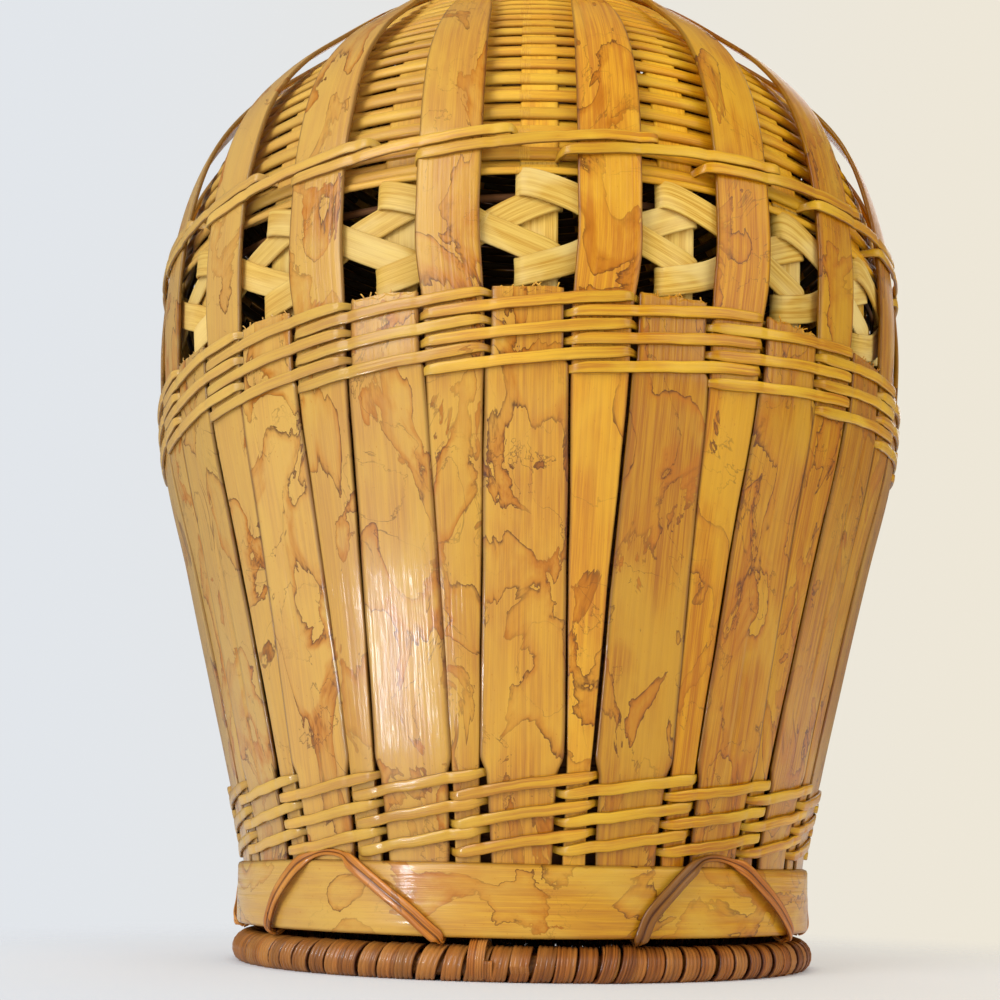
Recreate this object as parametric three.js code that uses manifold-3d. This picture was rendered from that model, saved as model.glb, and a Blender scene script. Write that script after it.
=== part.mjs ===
import * as THREE from "three";
import { mergeVertices } from "three/addons/utils/BufferGeometryUtils.js";
import Module from "manifold-3d";

// A bamboo flower basket shaped like a bottle. Millimetres, upright, standing on z = 0, front facing -Y.
// Twenty flat ribs run from the foot to the mouth, twenty wider staves fill the gaps between them up to
// the belly, and everything lies on the flats of a forty-sided form: a stave, a rib, a stave and so on.

const wasm = await Module();
wasm.setup();

// Body, measured at the middle of the ribs' thickness
const ribCount = 20;
const hoopBottom = 8;
const footRadius = 64.2;
const bellyHeight = 150;
const bellyRadius = 93.9;
const neckRadius = 34.4;
const neckLength = 40;
const mouthHeight = 286;
const mouthRadius = 37.5;

// Ribs and staves
const clearance = 0.3;
const ribThickness = 0.9;
const ribWidth = 12.4;
const ribShoulderWidth = 14.4;
const ribNeckWidth = 8.6;
const ribTaperStartShare = 0.4875;
const ribSlit = 0.4;
const ribFootWidth = 4.4;
const staveWidth = 16;
const staveTop = 130.4;
const staveBandWidth = 12.4;
const staveFootWidth = 8.4;
const tongueBottom = 10;
const notchStep = 1;

// Twined bands: a pair of flat weavers runs once round for each row
const weaverThickness = 1.1;
const weaverClearance = 0.4;
const weaverHeight = 2.4;
const weaverLift = 1.35;
const lowWeaverHeight = 2.1;
const lowWeaverLift = 1.2;
const highWeaverHeight = 3;
const highWeaverLift = 1.7;
const lowestRow = 26.6;
const lowRowPitch = 5;
const middleRow = 115.7;
const middleRowPitch = 5.5;
const upperRow = 161;
const rowsPerBand = 3;

// Inner basket: woven wall and floor, with a stake standing in each opening
const stakeThickness = 1;
const stakeClearance = 0.55;
const stakeWidth = 8.4;
const stakeOffset = 1.2;
const stakeTop = 164.6;
const stakeRoot = 2;
const wallThickness = 1.4;
const wallCover = 0.4;
const wallBottom = 7.2;
const wallTop = 129.4;
const floorBottom = 8.4;
const floorThickness = 1.6;

// Openwork strips between the middle and the upper band
const stripThickness = 0.7;
const stripWidth = 6.2;
const stripHeightShare = 0.42;
const stripRise = 9.6;
const stripFoldGap = 0.65;
const stripCrossing = 5.6;

// Shoulder and neck wicker
const wickerBottom = 166;
const wickerThickness = 2;
const wickerSetback = 1.8;
const wickerBulge = 1.2;
const wickerRelief = 1.1;
const wickerRow = 6.8;

// Hoop round the ribs' lower ends, and the ties that lash it
const hoopHeight = 13.9;
const hoopThickness = 1.2;
const hoopLapFacet = 23;
const hoopLapFacets = 2;
const tieCount = 5;
const tieFacet = -4;
const tieWidth = 2.6;
const tieThickness = 1;
const tieHookWidth = 1;
const tieHookSide = 1.2;
const tieTail = 6;

// Foot ring: a core wound all round with cane, which is flattened where it stands
const footRingReach = 2.9;
const footCoreRadius = 2.2;
const windingThickness = 1.1;
const windingWidth = 12.5;
const windingGap = 0.65;
const windingTurns = 22;
const windingSteps = 6;
const footFlat = 0.5;

// Ring on the mouth
const mouthRingRadius = 3.2;
const mouthRingSides = 6;

const slopeReach = 0.5;
const gapSamples = 15;
const cutOverrun = 10;

// Heights and radii as shares of the way from the foot to the belly and from the belly to the neck
const wallShares = [
  [0, 0],
  [0.1, 0.027],
  [0.204, 0.152],
  [0.384, 0.385],
  [0.56, 0.62],
  [0.736, 0.865],
  [0.866, 0.955],
  [1, 1],
];
const shoulderShares = [
  [0.198, 0.02],
  [0.391, 0.1],
  [0.548, 0.25],
  [0.7, 0.47],
  [0.834, 0.68],
  [0.885, 0.78],
  [0.927, 0.87],
  [0.96, 0.95],
  [1, 1],
];
const neckShares = [
  [0.6, 0.2],
  [1, 1],
];

const mix = THREE.MathUtils.lerp;
const facetCount = 2 * ribCount;
const facetTurn = (2 * Math.PI) / facetCount;
const halfRib = ribThickness / 2;
const hoopTop = hoopBottom + hoopHeight;
const neckHeight = mouthHeight - neckLength;
const stripMiddle = mix(staveTop, upperRow, stripHeightShare);
const ribTaperStart = mix(wickerBottom, neckHeight, ribTaperStartShare);

function between(shares, bottom, top, lowRadius, highRadius) {
  return shares.map(([up, out]) => [mix(bottom, top, up), mix(lowRadius, highRadius, out)]);
}

const outline = [
  ...between(wallShares, hoopBottom, bellyHeight, footRadius, bellyRadius),
  ...between(shoulderShares, bellyHeight, neckHeight, bellyRadius, neckRadius),
  ...between(neckShares, neckHeight, mouthHeight, neckRadius, mouthRadius),
];

function outlineSlope(i) {
  const before = outline[Math.max(i - 1, 0)];
  const after = outline[Math.min(i + 1, outline.length - 1)];
  return (after[1] - before[1]) / (after[0] - before[0]);
}

// A smooth curve through the outline's points
function smoothRadius(height) {
  let i = 0;
  while (i < outline.length - 2 && height > outline[i + 1][0]) i += 1;
  const [lowHeight, lowRadius] = outline[i];
  const [highHeight, highRadius] = outline[i + 1];
  const span = highHeight - lowHeight;
  const t = THREE.MathUtils.clamp((height - lowHeight) / span, 0, 1);
  const rise = t * t * (3 - 2 * t);
  const leave = t * (1 - t) * (1 - t) * span * outlineSlope(i);
  const arrive = t * t * (t - 1) * span * outlineSlope(i + 1);
  return mix(lowRadius, highRadius, rise) + leave + arrive;
}

// Heights at which the ribs, the wall and the wicker bend, all at the same ones so that they stay parallel
const lowBandTop = lowestRow + (rowsPerBand - 1) * lowRowPitch + lowWeaverLift + lowWeaverHeight;
const lowBandMiddle = lowestRow + lowRowPitch;
const bandBottom = middleRow - weaverLift - weaverHeight;
const wallMiddle = (lowBandTop + bandBottom) / 2;
const shoulderSteps = 5;
const shoulderLevels = [];
for (let i = 1; i <= shoulderSteps; i += 1) {
  shoulderLevels.push(mix(wickerBottom, neckHeight, i / shoulderSteps));
}
const bends = [
  hoopBottom,
  hoopTop,
  lowBandMiddle,
  lowBandTop,
  wallMiddle,
  bandBottom,
  staveTop,
  stripMiddle,
  wickerBottom,
  ...shoulderLevels,
  mouthHeight,
].map((height) => [height, smoothRadius(height)]);

// Radius of the ribs' middle surface: straight from bend to bend
function radiusAt(height) {
  let i = 0;
  while (i < bends.length - 2 && height > bends[i + 1][0]) i += 1;
  const [lowHeight, lowRadius] = bends[i];
  const [highHeight, highRadius] = bends[i + 1];
  return mix(lowRadius, highRadius, (height - lowHeight) / (highHeight - lowHeight));
}

// A point at a height on the outline, moved square to it: outwards, or inwards where the offset is negative
function offOutline(height, offset) {
  const slope = (radiusAt(height + slopeReach) - radiusAt(height - slopeReach)) / (2 * slopeReach);
  const length = Math.hypot(1, slope);
  return { radius: radiusAt(height) + offset / length, height: height - (offset * slope) / length };
}

// Directions and points on the flats. Even flats carry staves, odd flats carry ribs, halves are corners.
function outward(facet) {
  return new THREE.Vector3(Math.sin(facet * facetTurn), -Math.cos(facet * facetTurn), 0);
}

function sideways(facet) {
  return new THREE.Vector3(Math.cos(facet * facetTurn), Math.sin(facet * facetTurn), 0);
}

function onFlat(facet, side, height, offset) {
  const spot = offOutline(height, offset);
  const stretch = Number.isInteger(facet) ? 1 : 1 / Math.cos(facetTurn / 2);
  return outward(facet)
    .multiplyScalar(spot.radius * stretch)
    .addScaledVector(sideways(facet), side)
    .setZ(spot.height);
}

// A closed solid from corner points and triangles, turned so that its faces point out
function solid(points, faces) {
  let volume = 0;
  for (let i = 0; i < faces.length; i += 3) {
    const [a, b, c] = [points[faces[i]], points[faces[i + 1]], points[faces[i + 2]]];
    volume += a.dot(new THREE.Vector3().crossVectors(b, c));
  }
  const geometry = new THREE.BufferGeometry();
  const positions = points.flatMap((point) => point.toArray());
  geometry.setAttribute("position", new THREE.Float32BufferAttribute(positions, 3));
  geometry.setIndex(volume < 0 ? faces.toReversed() : faces);
  return geometry;
}

// Joins sections with the same number of corners into one run, or into a ring
function sweep(sections, isRing = false) {
  const sides = sections[0].length;
  const faces = [];
  const runs = isRing ? sections.length : sections.length - 1;
  for (let i = 0; i < runs; i += 1) {
    const here = i * sides;
    const there = ((i + 1) % sections.length) * sides;
    for (let j = 0; j < sides; j += 1) {
      const k = (j + 1) % sides;
      faces.push(here + j, here + k, there + k, here + j, there + k, there + j);
    }
  }
  const last = (sections.length - 1) * sides;
  for (let j = 1; j + 1 < sides && !isRing; j += 1) {
    faces.push(0, j + 1, j, last, last + j, last + j + 1);
  }
  return solid(sections.flat(), faces);
}

// Four corners round a point, half a width and half a thickness away
function section(point, halfWidth, halfThickness) {
  const corner = (w, t) => point.clone().addScaledVector(halfWidth, w).addScaledVector(halfThickness, t);
  return [corner(1, 1), corner(-1, 1), corner(-1, -1), corner(1, -1)];
}

// Cross-section of a strip that lies on the body: its width runs up the outline, its face looks outwards,
// and at a fold the mitre turns the face sideways as well
function lyingSection(facet, side, height, offset, width, thickness, [aside, out] = [0, 1]) {
  const reach = thickness / 2;
  const corner = (way, up) =>
    onFlat(facet, side + way * aside * reach, height + (up * width) / 2, offset + way * out * reach);
  return [corner(1, 1), corner(1, -1), corner(-1, -1), corner(-1, 1)];
}

// A flat strip standing on a flat, its width given at each height
function uprightStrip(facet, side, levels, outer, inner) {
  const sections = levels.map(([height, width]) => [
    onFlat(facet, side - width / 2, height, outer),
    onFlat(facet, side + width / 2, height, outer),
    onFlat(facet, side + width / 2, height, inner),
    onFlat(facet, side - width / 2, height, inner),
  ]);
  return sweep(sections);
}

// A ring of walls whose outer and inner faces follow the outline
function wallRing(levels, outerOffset, thickness) {
  const sections = [];
  for (let facet = 0; facet < facetCount; facet += 1) {
    const face = (depth) =>
      levels.map((height) => onFlat(facet + 0.5, 0, height, outerOffset(height) - depth));
    sections.push([...face(0), ...face(thickness).reverse()]);
  }
  return sweep(sections, true);
}

function toManifold(geometry) {
  const bare = geometry.index ? geometry.clone() : mergeVertices(geometry);
  return new wasm.Manifold(
    new wasm.Mesh({
      numProp: 3,
      vertProperties: new Float32Array(bare.attributes.position.array),
      triVerts: new Uint32Array(bare.index.array),
    }),
  );
}

function fromManifold(body) {
  const mesh = body.getMesh();
  const geometry = new THREE.BufferGeometry();
  geometry.setAttribute("position", new THREE.BufferAttribute(mesh.vertProperties, 3));
  geometry.setIndex(new THREE.BufferAttribute(mesh.triVerts, 1));
  return geometry;
}

function bareMerged(geometry) {
  geometry.deleteAttribute("normal");
  geometry.deleteAttribute("uv");
  return mergeVertices(geometry);
}

// Materials
function bamboo(color, roughness) {
  return new THREE.MeshStandardMaterial({ color, roughness, metalness: 0 });
}

const materials = {
  rib: bamboo(0xcf9b45, 0.35),
  stave: bamboo(0xd6a23f, 0.35),
  weaver: bamboo(0xc9983c, 0.45),
  pale: bamboo(0xd9bf7a, 0.65),
  wicker: bamboo(0xcda23f, 0.5),
  inner: bamboo(0x8a5a2c, 0.7),
  hoop: bamboo(0xd4a653, 0.35),
  cane: bamboo(0xa8692c, 0.5),
};

const basket = new THREE.Group();

function add(name, geometry, material) {
  geometry.computeVertexNormals();
  const mesh = new THREE.Mesh(geometry, material);
  mesh.name = name;
  basket.add(mesh);
}

function numbered(name, index) {
  return `${name}_${String(index + 1).padStart(2, "0")}`;
}

// Width between one stave's middle and the next, across the flats
function pitchAt(height) {
  return 4 * radiusAt(height) * Math.tan(facetTurn / 2);
}

function ribWidthAt(height) {
  if (height > ribTaperStart) {
    const share = (height - ribTaperStart) / (neckHeight - ribTaperStart);
    return mix(ribShoulderWidth, ribNeckWidth, Math.min(share, 1));
  }
  if (height > wickerBottom) {
    const share = (height - wickerBottom) / (ribTaperStart - wickerBottom);
    return mix(ribWidth, ribShoulderWidth, share);
  }
  const free = pitchAt(Math.max(height, lowBandTop)) - staveWidth - 2 * ribSlit;
  const full = Math.min(ribWidth, free);
  if (height >= lowBandTop) return full;
  return mix(ribFootWidth, full, (height - tongueBottom) / (lowBandTop - tongueBottom));
}

// Staves are cut narrower under the bands, where the weavers pass behind them, and taper to a tongue
function staveWidthAt(height) {
  if (height > bandBottom) return staveBandWidth;
  if (height >= lowBandTop) return staveWidth;
  return mix(staveFootWidth, staveBandWidth, (height - tongueBottom) / (lowBandTop - tongueBottom));
}

function buildRibsAndStaves() {
  const ribHeights = [tongueBottom, ...bends.slice(1).map(([height]) => height)];
  const ribLevels = ribHeights.map((height) => [height, ribWidthAt(height)]);
  const staveLevels = [
    [tongueBottom, staveFootWidth],
    [hoopTop, staveWidthAt(hoopTop)],
    [lowBandMiddle, staveWidthAt(lowBandMiddle)],
    [lowBandTop - notchStep, staveWidthAt(lowBandTop - notchStep)],
    [lowBandTop, staveWidth],
    [wallMiddle, staveWidth],
    [bandBottom - notchStep, staveWidth],
    [bandBottom, staveBandWidth],
    [staveTop, staveBandWidth],
  ];
  for (let i = 0; i < ribCount; i += 1) {
    const rib = uprightStrip(2 * i + 1, 0, ribLevels, halfRib, -halfRib);
    add(numbered("rib", i), rib, materials.rib);
  }
  for (let i = 0; i < ribCount; i += 1) {
    const stave = uprightStrip(2 * i, 0, staveLevels, halfRib, -halfRib);
    add(numbered("stave", i), stave, materials.stave);
  }
}

// Distances inwards from the ribs' middle: openwork strips, stakes and the wall lie one behind another
const outerLayer = -(halfRib + clearance + stripThickness / 2);
const innerLayer = outerLayer - stripThickness - clearance;
const stakeFace = innerLayer - stripThickness / 2 - stakeClearance;
const stakeBack = stakeFace - stakeThickness;
const wallFace = stakeFace + wallCover;

// One weaver. It covers rib, stave, rib, climbs on the way, then drops behind the next stave, and so on.
// Where a row ends it steps up to the next row behind a stave. Its ends are tucked behind staves.
function buildWeaver(name, firstStave, band) {
  const { rows, height, lift, edge, behind, aside } = band;
  const front = halfRib + weaverClearance + weaverThickness / 2;
  const sections = [];
  const put = (facet, side, z, offset) => {
    sections.push(lyingSection(facet, side, z, offset, height, weaverThickness));
  };
  put(firstStave, aside, rows[0] - lift, behind);
  put(firstStave, aside + edge, rows[0] - lift, behind);
  rows.forEach((row, index) => {
    const nextRow = rows[index + 1];
    for (let i = 0; i < ribCount / 2; i += 1) {
      const rib = firstStave + 4 * i + 1;
      const reach = ribWidthAt(row) / 2;
      put(rib, -reach, row - lift, front);
      put(rib + 0.5, 0, row - lift, front);
      put(rib + 1.5, 0, row + lift, front);
      put(rib + 2, reach, row + lift, front);
      put(rib + 3, aside - edge, row + lift, behind);
      const isRowEnd = i === ribCount / 2 - 1;
      if (!isRowEnd) put(rib + 3, aside + edge, row - lift, behind);
      else if (nextRow) put(rib + 3, aside + edge, nextRow - lift, behind);
      else put(rib + 3, aside, row + lift, behind);
    }
  });
  add(name, sweep(sections), materials.weaver);
}

function buildBands() {
  const behindStave = -(halfRib + weaverClearance + weaverThickness / 2);
  const behindStake = stakeBack - weaverClearance - weaverThickness / 2;
  const lowRows = [];
  const middleRows = [];
  for (let i = 0; i < rowsPerBand; i += 1) {
    lowRows.push(lowestRow + i * lowRowPitch);
    middleRows.push(middleRow + i * middleRowPitch);
  }
  const bands = {
    lower_band: {
      rows: lowRows,
      height: lowWeaverHeight,
      lift: lowWeaverLift,
      edge: staveBandWidth / 2,
      behind: behindStave,
      aside: 0,
    },
    middle_band: {
      rows: middleRows,
      height: weaverHeight,
      lift: weaverLift,
      edge: staveBandWidth / 2,
      behind: behindStave,
      aside: 0,
    },
    upper_band: {
      rows: [upperRow],
      height: highWeaverHeight,
      lift: highWeaverLift,
      edge: stakeWidth / 2,
      behind: behindStake,
      aside: stakeOffset,
    },
  };
  for (const [name, band] of Object.entries(bands)) {
    buildWeaver(`${name}_weaver_a`, ribCount, band);
    buildWeaver(`${name}_weaver_b`, ribCount + 2, band);
  }
}

function buildInnerBasket() {
  const levels = [wallBottom, hoopTop, lowBandTop, wallMiddle, bandBottom, wallTop];
  let body = toManifold(wallRing(levels, () => wallFace, wallThickness));
  const floorRadius = (radiusAt(floorBottom) + wallFace - wallThickness / 2) / Math.cos(facetTurn / 2);
  const floor = new THREE.CylinderGeometry(floorRadius, floorRadius, floorThickness, facetCount);
  floor.rotateX(Math.PI / 2);
  floor.rotateZ(facetTurn / 2);
  floor.translate(0, 0, floorBottom + floorThickness / 2);
  body = body.add(toManifold(bareMerged(floor)));
  const stakeLevels = [wallTop - stakeRoot, stripMiddle, stakeTop].map((height) => [height, stakeWidth]);
  for (let i = 0; i < ribCount; i += 1) {
    body = body.add(toManifold(uprightStrip(2 * i, stakeOffset, stakeLevels, stakeFace, stakeBack)));
  }
  add("inner_basket", fromManifold(body), materials.inner);
}

// A pale strip goes round the openwork and folds round every stake, high on one and low on the next. It
// passes in front of the stake, comes back behind it and crosses over itself. It meets the other strip
// behind every rib, where the falling one lies in front.
function buildOpenworkStrip(name, firstTurn) {
  const right = stakeOffset + stakeWidth / 2 + stripFoldGap;
  const left = stakeOffset - stakeWidth / 2 - stripFoldGap;
  const backLayer = stakeBack - clearance - stripThickness / 2;
  const frontLayer = outerLayer + stripThickness + clearance;
  const ribEdge = ribWidthAt(stripMiddle) / 2 + clearance;
  const sections = [];
  for (let i = 0; i < ribCount; i += 1) {
    const isHigh = (i + firstTurn) % 2 === 0;
    const way = isHigh ? 1 : -1;
    const put = (facet, side, riseShare, offset, mitre) => {
      const z = stripMiddle + way * stripRise * riseShare;
      sections.push(lyingSection(facet, side, z, offset, stripWidth, stripThickness, mitre));
    };
    const stake = 2 * i;
    const arriving = isHigh ? innerLayer : outerLayer;
    put(stake - 1, stripCrossing, 0, arriving);
    put(stake, right, 0.68, arriving, [1, 1]);
    put(stake, right, 0.74, backLayer, [1, -1]);
    put(stake, left, 0.94, backLayer, [-1, -1]);
    if (isHigh) {
      put(stake, left, 1, outerLayer, [-1, 1]);
      put(stake + 0.5, 0, 0.66, outerLayer);
    } else {
      put(stake, left, 1, frontLayer, [-1, 1]);
      put(stake, right + 2 * clearance, 0.75, frontLayer);
      put(stake + 1, -ribEdge, 0.62, outerLayer - clearance);
      put(stake + 1, 0, 0.33, innerLayer);
    }
  }
  add(name, sweep(sections, true), materials.pale);
}

// The wicker of the shoulder and neck stands back from the ribs and meets them at the neck. A row of it
// that passes in front of one stake passes behind the next.
function buildShoulder() {
  const shareAt = (height) =>
    THREE.MathUtils.clamp((height - wickerBottom) / (neckHeight - wickerBottom), 0, 1);
  const offset = (height) => {
    const share = shareAt(height);
    const setback = wickerSetback * (1 - share) + wickerBulge * Math.sin(Math.PI * share);
    return -(halfRib + clearance + setback);
  };
  const corners = [wickerBottom, ...shoulderLevels];
  const rows = [];
  for (let i = 0; i < shoulderSteps; i += 1) {
    const [low, high] = [corners[i], corners[i + 1]];
    const rise = Math.hypot(high - low, radiusAt(high) - radiusAt(low));
    const count = Math.round(rise / wickerRow);
    for (let row = 0; row < count; row += 1) rows.push(mix(low, high, row / count));
  }
  rows.push(neckHeight, mouthHeight);
  const sections = [];
  for (let facet = 0; facet < facetCount; facet += 1) {
    const window = Math.floor((facet + 1) / 2);
    const outerFace = rows.map((height, row) => {
      const isBehind = (row + window) % 2 === 1;
      const depth = isBehind ? wickerRelief * (1 - shareAt(height)) : 0;
      return onFlat(facet + 0.5, 0, height, offset(height) - depth);
    });
    const innerFace = [...corners, mouthHeight].map((height) =>
      onFlat(facet + 0.5, 0, height, offset(height) - wickerThickness),
    );
    sections.push([...outerFace, ...innerFace.reverse()]);
  }
  add("shoulder_wicker", sweep(sections, true), materials.wicker);
}

// The hoop is one strip bent round the ribs' ends, its outer end lapped over its inner end
function buildHoop() {
  const inner = halfRib + clearance;
  const lap = hoopThickness + clearance;
  const sections = [];
  const put = (facet, lift) => {
    const low = onFlat(facet, 0, hoopBottom, inner + lift);
    const high = onFlat(facet, 0, hoopTop, inner + lift);
    const out = outward(facet).multiplyScalar(hoopThickness);
    sections.push([low.clone().add(out), high.clone().add(out), high, low]);
  };
  for (let i = 0; i <= facetCount + hoopLapFacets; i += 1) {
    const isLapped = i >= facetCount;
    put(hoopLapFacet + i + 0.5, isLapped ? lap : 0);
  }
  add("base_hoop", sweep(sections), materials.hoop);
}

// Each tie hooks behind a stave's tongue above the hoop and comes down on both sides as a leg that
// turns under the hoop, its tails tucked up behind it
function buildTie(index) {
  const facet = tieFacet + (index * facetCount) / tieCount;
  const a = tieWidth / 2;
  const b = tieThickness / 2;
  const h = tieHookWidth / 2;
  const outerOffset = halfRib + clearance + hoopThickness + clearance + b;
  const innerOffset = -(halfRib + clearance + b);
  const top = hoopTop + clearance + b;
  const bottom = hoopBottom - clearance - b;
  const up = new THREE.Vector3(0, 0, 1);
  const sections = [];
  const put = (corner, side, offset, height, widthWay, thicknessWay, halfWidth = a) => {
    const reference = THREE.MathUtils.clamp(height, hoopBottom, hoopTop);
    const point = onFlat(corner, side, reference, offset).setZ(height);
    const turn = (way) =>
      outward(corner)
        .multiplyScalar(way[0])
        .addScaledVector(sideways(corner), way[1])
        .addScaledVector(up, way[2]);
    const halfAcross = turn(widthWay).multiplyScalar(halfWidth);
    const halfThrough = turn(thicknessWay).multiplyScalar(b);
    sections.push(section(point, halfAcross, halfThrough));
  };
  const leftFoot = facet - 1.5;
  const left = facet - 0.5;
  const right = facet + 0.5;
  const rightFoot = facet + 2.5;
  const hook = tieHookSide;
  put(leftFoot, 0, innerOffset, bottom + tieTail, [0, -1, 0], [-1, 0, 0]);
  put(leftFoot, 0, innerOffset, bottom, [0, -1, 0], [-1, 0, -1]);
  put(leftFoot, 0, outerOffset, bottom, [0, -1, 0], [1, 0, -1]);
  put(left, -hook, outerOffset, top, [0, -1, 0], [1, 0, 1]);
  put(left, -hook, innerOffset, top, [-1, -1, 0], [0, 0, 1], h);
  put(right, hook, innerOffset, top, [-1, 1, 0], [0, 0, 1], h);
  put(right, hook, outerOffset, top, [0, 1, 0], [1, 0, 1]);
  put((right + rightFoot) / 2, 0, outerOffset, (top + bottom) / 2, [0, 1, 0], [1, 0, 0]);
  put(rightFoot, 0, outerOffset, bottom, [0, 1, 0], [1, 0, -1]);
  put(rightFoot, 0, innerOffset, bottom, [0, 1, 0], [-1, 0, -1]);
  put(rightFoot, 0, innerOffset, bottom + tieTail, [0, 1, 0], [-1, 0, 0]);
  add(numbered("tie", index), sweep(sections), materials.cane);
}

// The foot ring's core and the cane wound round it have the same number of sides
const windingInner = footCoreRadius + windingGap;
const windingOuter = windingInner + windingThickness;
const footRadiusLine = footRadius + footRingReach - windingOuter;
const footCentre = windingOuter * Math.cos(Math.PI / windingSteps) - footFlat;

function roundPoint(angle, step, size, along = 0) {
  const phase = (2 * Math.PI * step) / windingSteps;
  const radius = footRadiusLine + size * Math.cos(phase);
  const x = radius * Math.sin(angle) + along * Math.cos(angle);
  const y = -radius * Math.cos(angle) + along * Math.sin(angle);
  return new THREE.Vector3(x, y, footCentre + size * Math.sin(phase));
}

function buildFootRing() {
  const core = [];
  for (let i = 0; i < facetCount; i += 1) {
    const ring = [];
    for (let step = 0; step < windingSteps; step += 1) {
      ring.push(roundPoint((i + 0.5) * facetTurn, step, footCoreRadius));
    }
    core.push(ring);
  }
  add("foot_ring_core", sweep(core, true), materials.inner);

  const winding = [];
  const count = windingTurns * windingSteps;
  const half = windingWidth / 2;
  for (let step = 0; step < count; step += 1) {
    const angle = (2 * Math.PI * step) / count;
    winding.push([
      roundPoint(angle, step, windingOuter, half),
      roundPoint(angle, step, windingOuter, -half),
      roundPoint(angle, step, windingInner, -half),
      roundPoint(angle, step, windingInner, half),
    ]);
  }
  const floor = new THREE.BoxGeometry(3 * footRadiusLine, 3 * footRadiusLine, cutOverrun);
  floor.translate(0, 0, -cutOverrun / 2);
  const flattened = toManifold(sweep(winding, true)).subtract(toManifold(bareMerged(floor)));
  add("foot_ring_winding", fromManifold(flattened), materials.cane);
  console.log(`foot ring winding: least gap to itself ${leastGap(winding).toFixed(2)} mm`);
}

// Least distance between corner points that lie more than half a turn apart along the winding
function leastGap(sections) {
  let least = Infinity;
  const edge = (list, from, to, share) => list[from].clone().lerp(list[to], share);
  const count = sections.length;
  for (let i = 0; i < windingSteps; i += 1) {
    for (let j = i + Math.ceil(windingSteps / 2) + 1; j < i + 2 * windingSteps; j += 1) {
      for (let m = 0; m <= gapSamples; m += 1) {
        const p = edge(sections[i], m % 2, 3 - (m % 2), m / gapSamples);
        for (let n = 0; n <= gapSamples; n += 1) {
          const q = edge(sections[j % count], n % 2, 3 - (n % 2), n / gapSamples);
          least = Math.min(least, p.distanceTo(q));
        }
      }
    }
  }
  return least;
}

function buildMouthRing() {
  const sections = [];
  const centre = mouthHeight + clearance + mouthRingRadius * Math.cos(Math.PI / mouthRingSides);
  for (let i = 0; i < facetCount; i += 1) {
    const ring = [];
    for (let side = 0; side < mouthRingSides; side += 1) {
      const phase = (2 * Math.PI * side) / mouthRingSides;
      const radius = (mouthRadius + mouthRingRadius * Math.cos(phase)) / Math.cos(facetTurn / 2);
      ring.push(outward(i + 0.5).multiplyScalar(radius).setZ(centre + mouthRingRadius * Math.sin(phase)));
    }
    sections.push(ring);
  }
  add("mouth_ring", sweep(sections, true), materials.cane);
}

buildRibsAndStaves();
buildBands();
buildInnerBasket();
buildOpenworkStrip("openwork_strip_a", 0);
buildOpenworkStrip("openwork_strip_b", 1);
buildShoulder();
buildHoop();
for (let i = 0; i < tieCount; i += 1) buildTie(i);
buildFootRing();
buildMouthRing();

export default basket;
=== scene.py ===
"""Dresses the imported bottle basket: ribs, staves, twined weavers, openwork, wicker and wound cane."""

import math

import bpy
import numpy as np
from mathutils import Matrix, Vector


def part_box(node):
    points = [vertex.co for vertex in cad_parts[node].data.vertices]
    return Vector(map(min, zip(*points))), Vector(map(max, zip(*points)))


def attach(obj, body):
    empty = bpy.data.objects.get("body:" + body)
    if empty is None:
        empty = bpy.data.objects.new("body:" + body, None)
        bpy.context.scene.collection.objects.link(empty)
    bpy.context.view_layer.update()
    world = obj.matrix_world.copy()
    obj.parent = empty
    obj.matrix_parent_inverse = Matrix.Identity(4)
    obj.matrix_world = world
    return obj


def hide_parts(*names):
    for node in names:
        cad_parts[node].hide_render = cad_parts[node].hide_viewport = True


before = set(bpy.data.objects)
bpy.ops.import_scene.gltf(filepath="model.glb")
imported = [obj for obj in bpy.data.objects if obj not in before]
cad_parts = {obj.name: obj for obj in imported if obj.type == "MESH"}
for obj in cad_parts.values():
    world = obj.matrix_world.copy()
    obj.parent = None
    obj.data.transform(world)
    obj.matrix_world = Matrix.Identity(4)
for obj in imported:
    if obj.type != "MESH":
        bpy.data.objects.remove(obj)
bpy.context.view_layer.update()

# Sizes are in millimetres until a piece is finished
MM = 0.001
PER_METRE = 1000

# The CAD model's sizes
RIBS = 20
FLATS = 2 * RIBS
TURN = math.tau / FLATS
HOOP_BOTTOM, HOOP_TOP = 8.0, 21.9
FOOT_RADIUS = 64.2
BELLY_HEIGHT, BELLY_RADIUS = 150.0, 93.9
NECK_HEIGHT, NECK_RADIUS = 246.0, 34.4
MOUTH_HEIGHT, MOUTH_RADIUS = 286.0, 37.5
HALF_RIB = 0.45
RIB_WIDTH, RIB_SHOULDER_WIDTH, RIB_NECK_WIDTH = 12.4, 14.4, 8.6
RIB_WIDENING, RIB_WIDEN_START, RIB_TAPER_START = 0.7, 160.0, 205.0
STRIP_CLEARANCE = 0.8
RIB_FOOT_WIDTH, STAVE_FOOT_WIDTH = 4.4, 10.4
STAVE_WIDTH, STAVE_BAND_WIDTH, STAVE_LOW_WIDTH, STAVE_TOP = 16.0, 14.0, 13.8, 129.4
TONGUE_BOTTOM = 10.0
LOW_ROWS = (26.0, 31.3, 36.6)
MIDDLE_ROWS = (115.7, 121.2, 126.7)
UPPER_ROWS = (161.0,)
LOW_BAND_TOP = 39.9
BAND_BOTTOM = 112.0
OPENWORK_MIDDLE = 142.9
STAKE_OFFSET, STAKE_WIDTH = 1.9, 7.8
STAKE_DEPTH = -3.4
WICKER_BOTTOM = 166.0
FLOOR_HEIGHT = 9.25
FOOT_RING_RADIUS, FOOT_RING_HEIGHT = 63.15, 3.0

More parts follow.
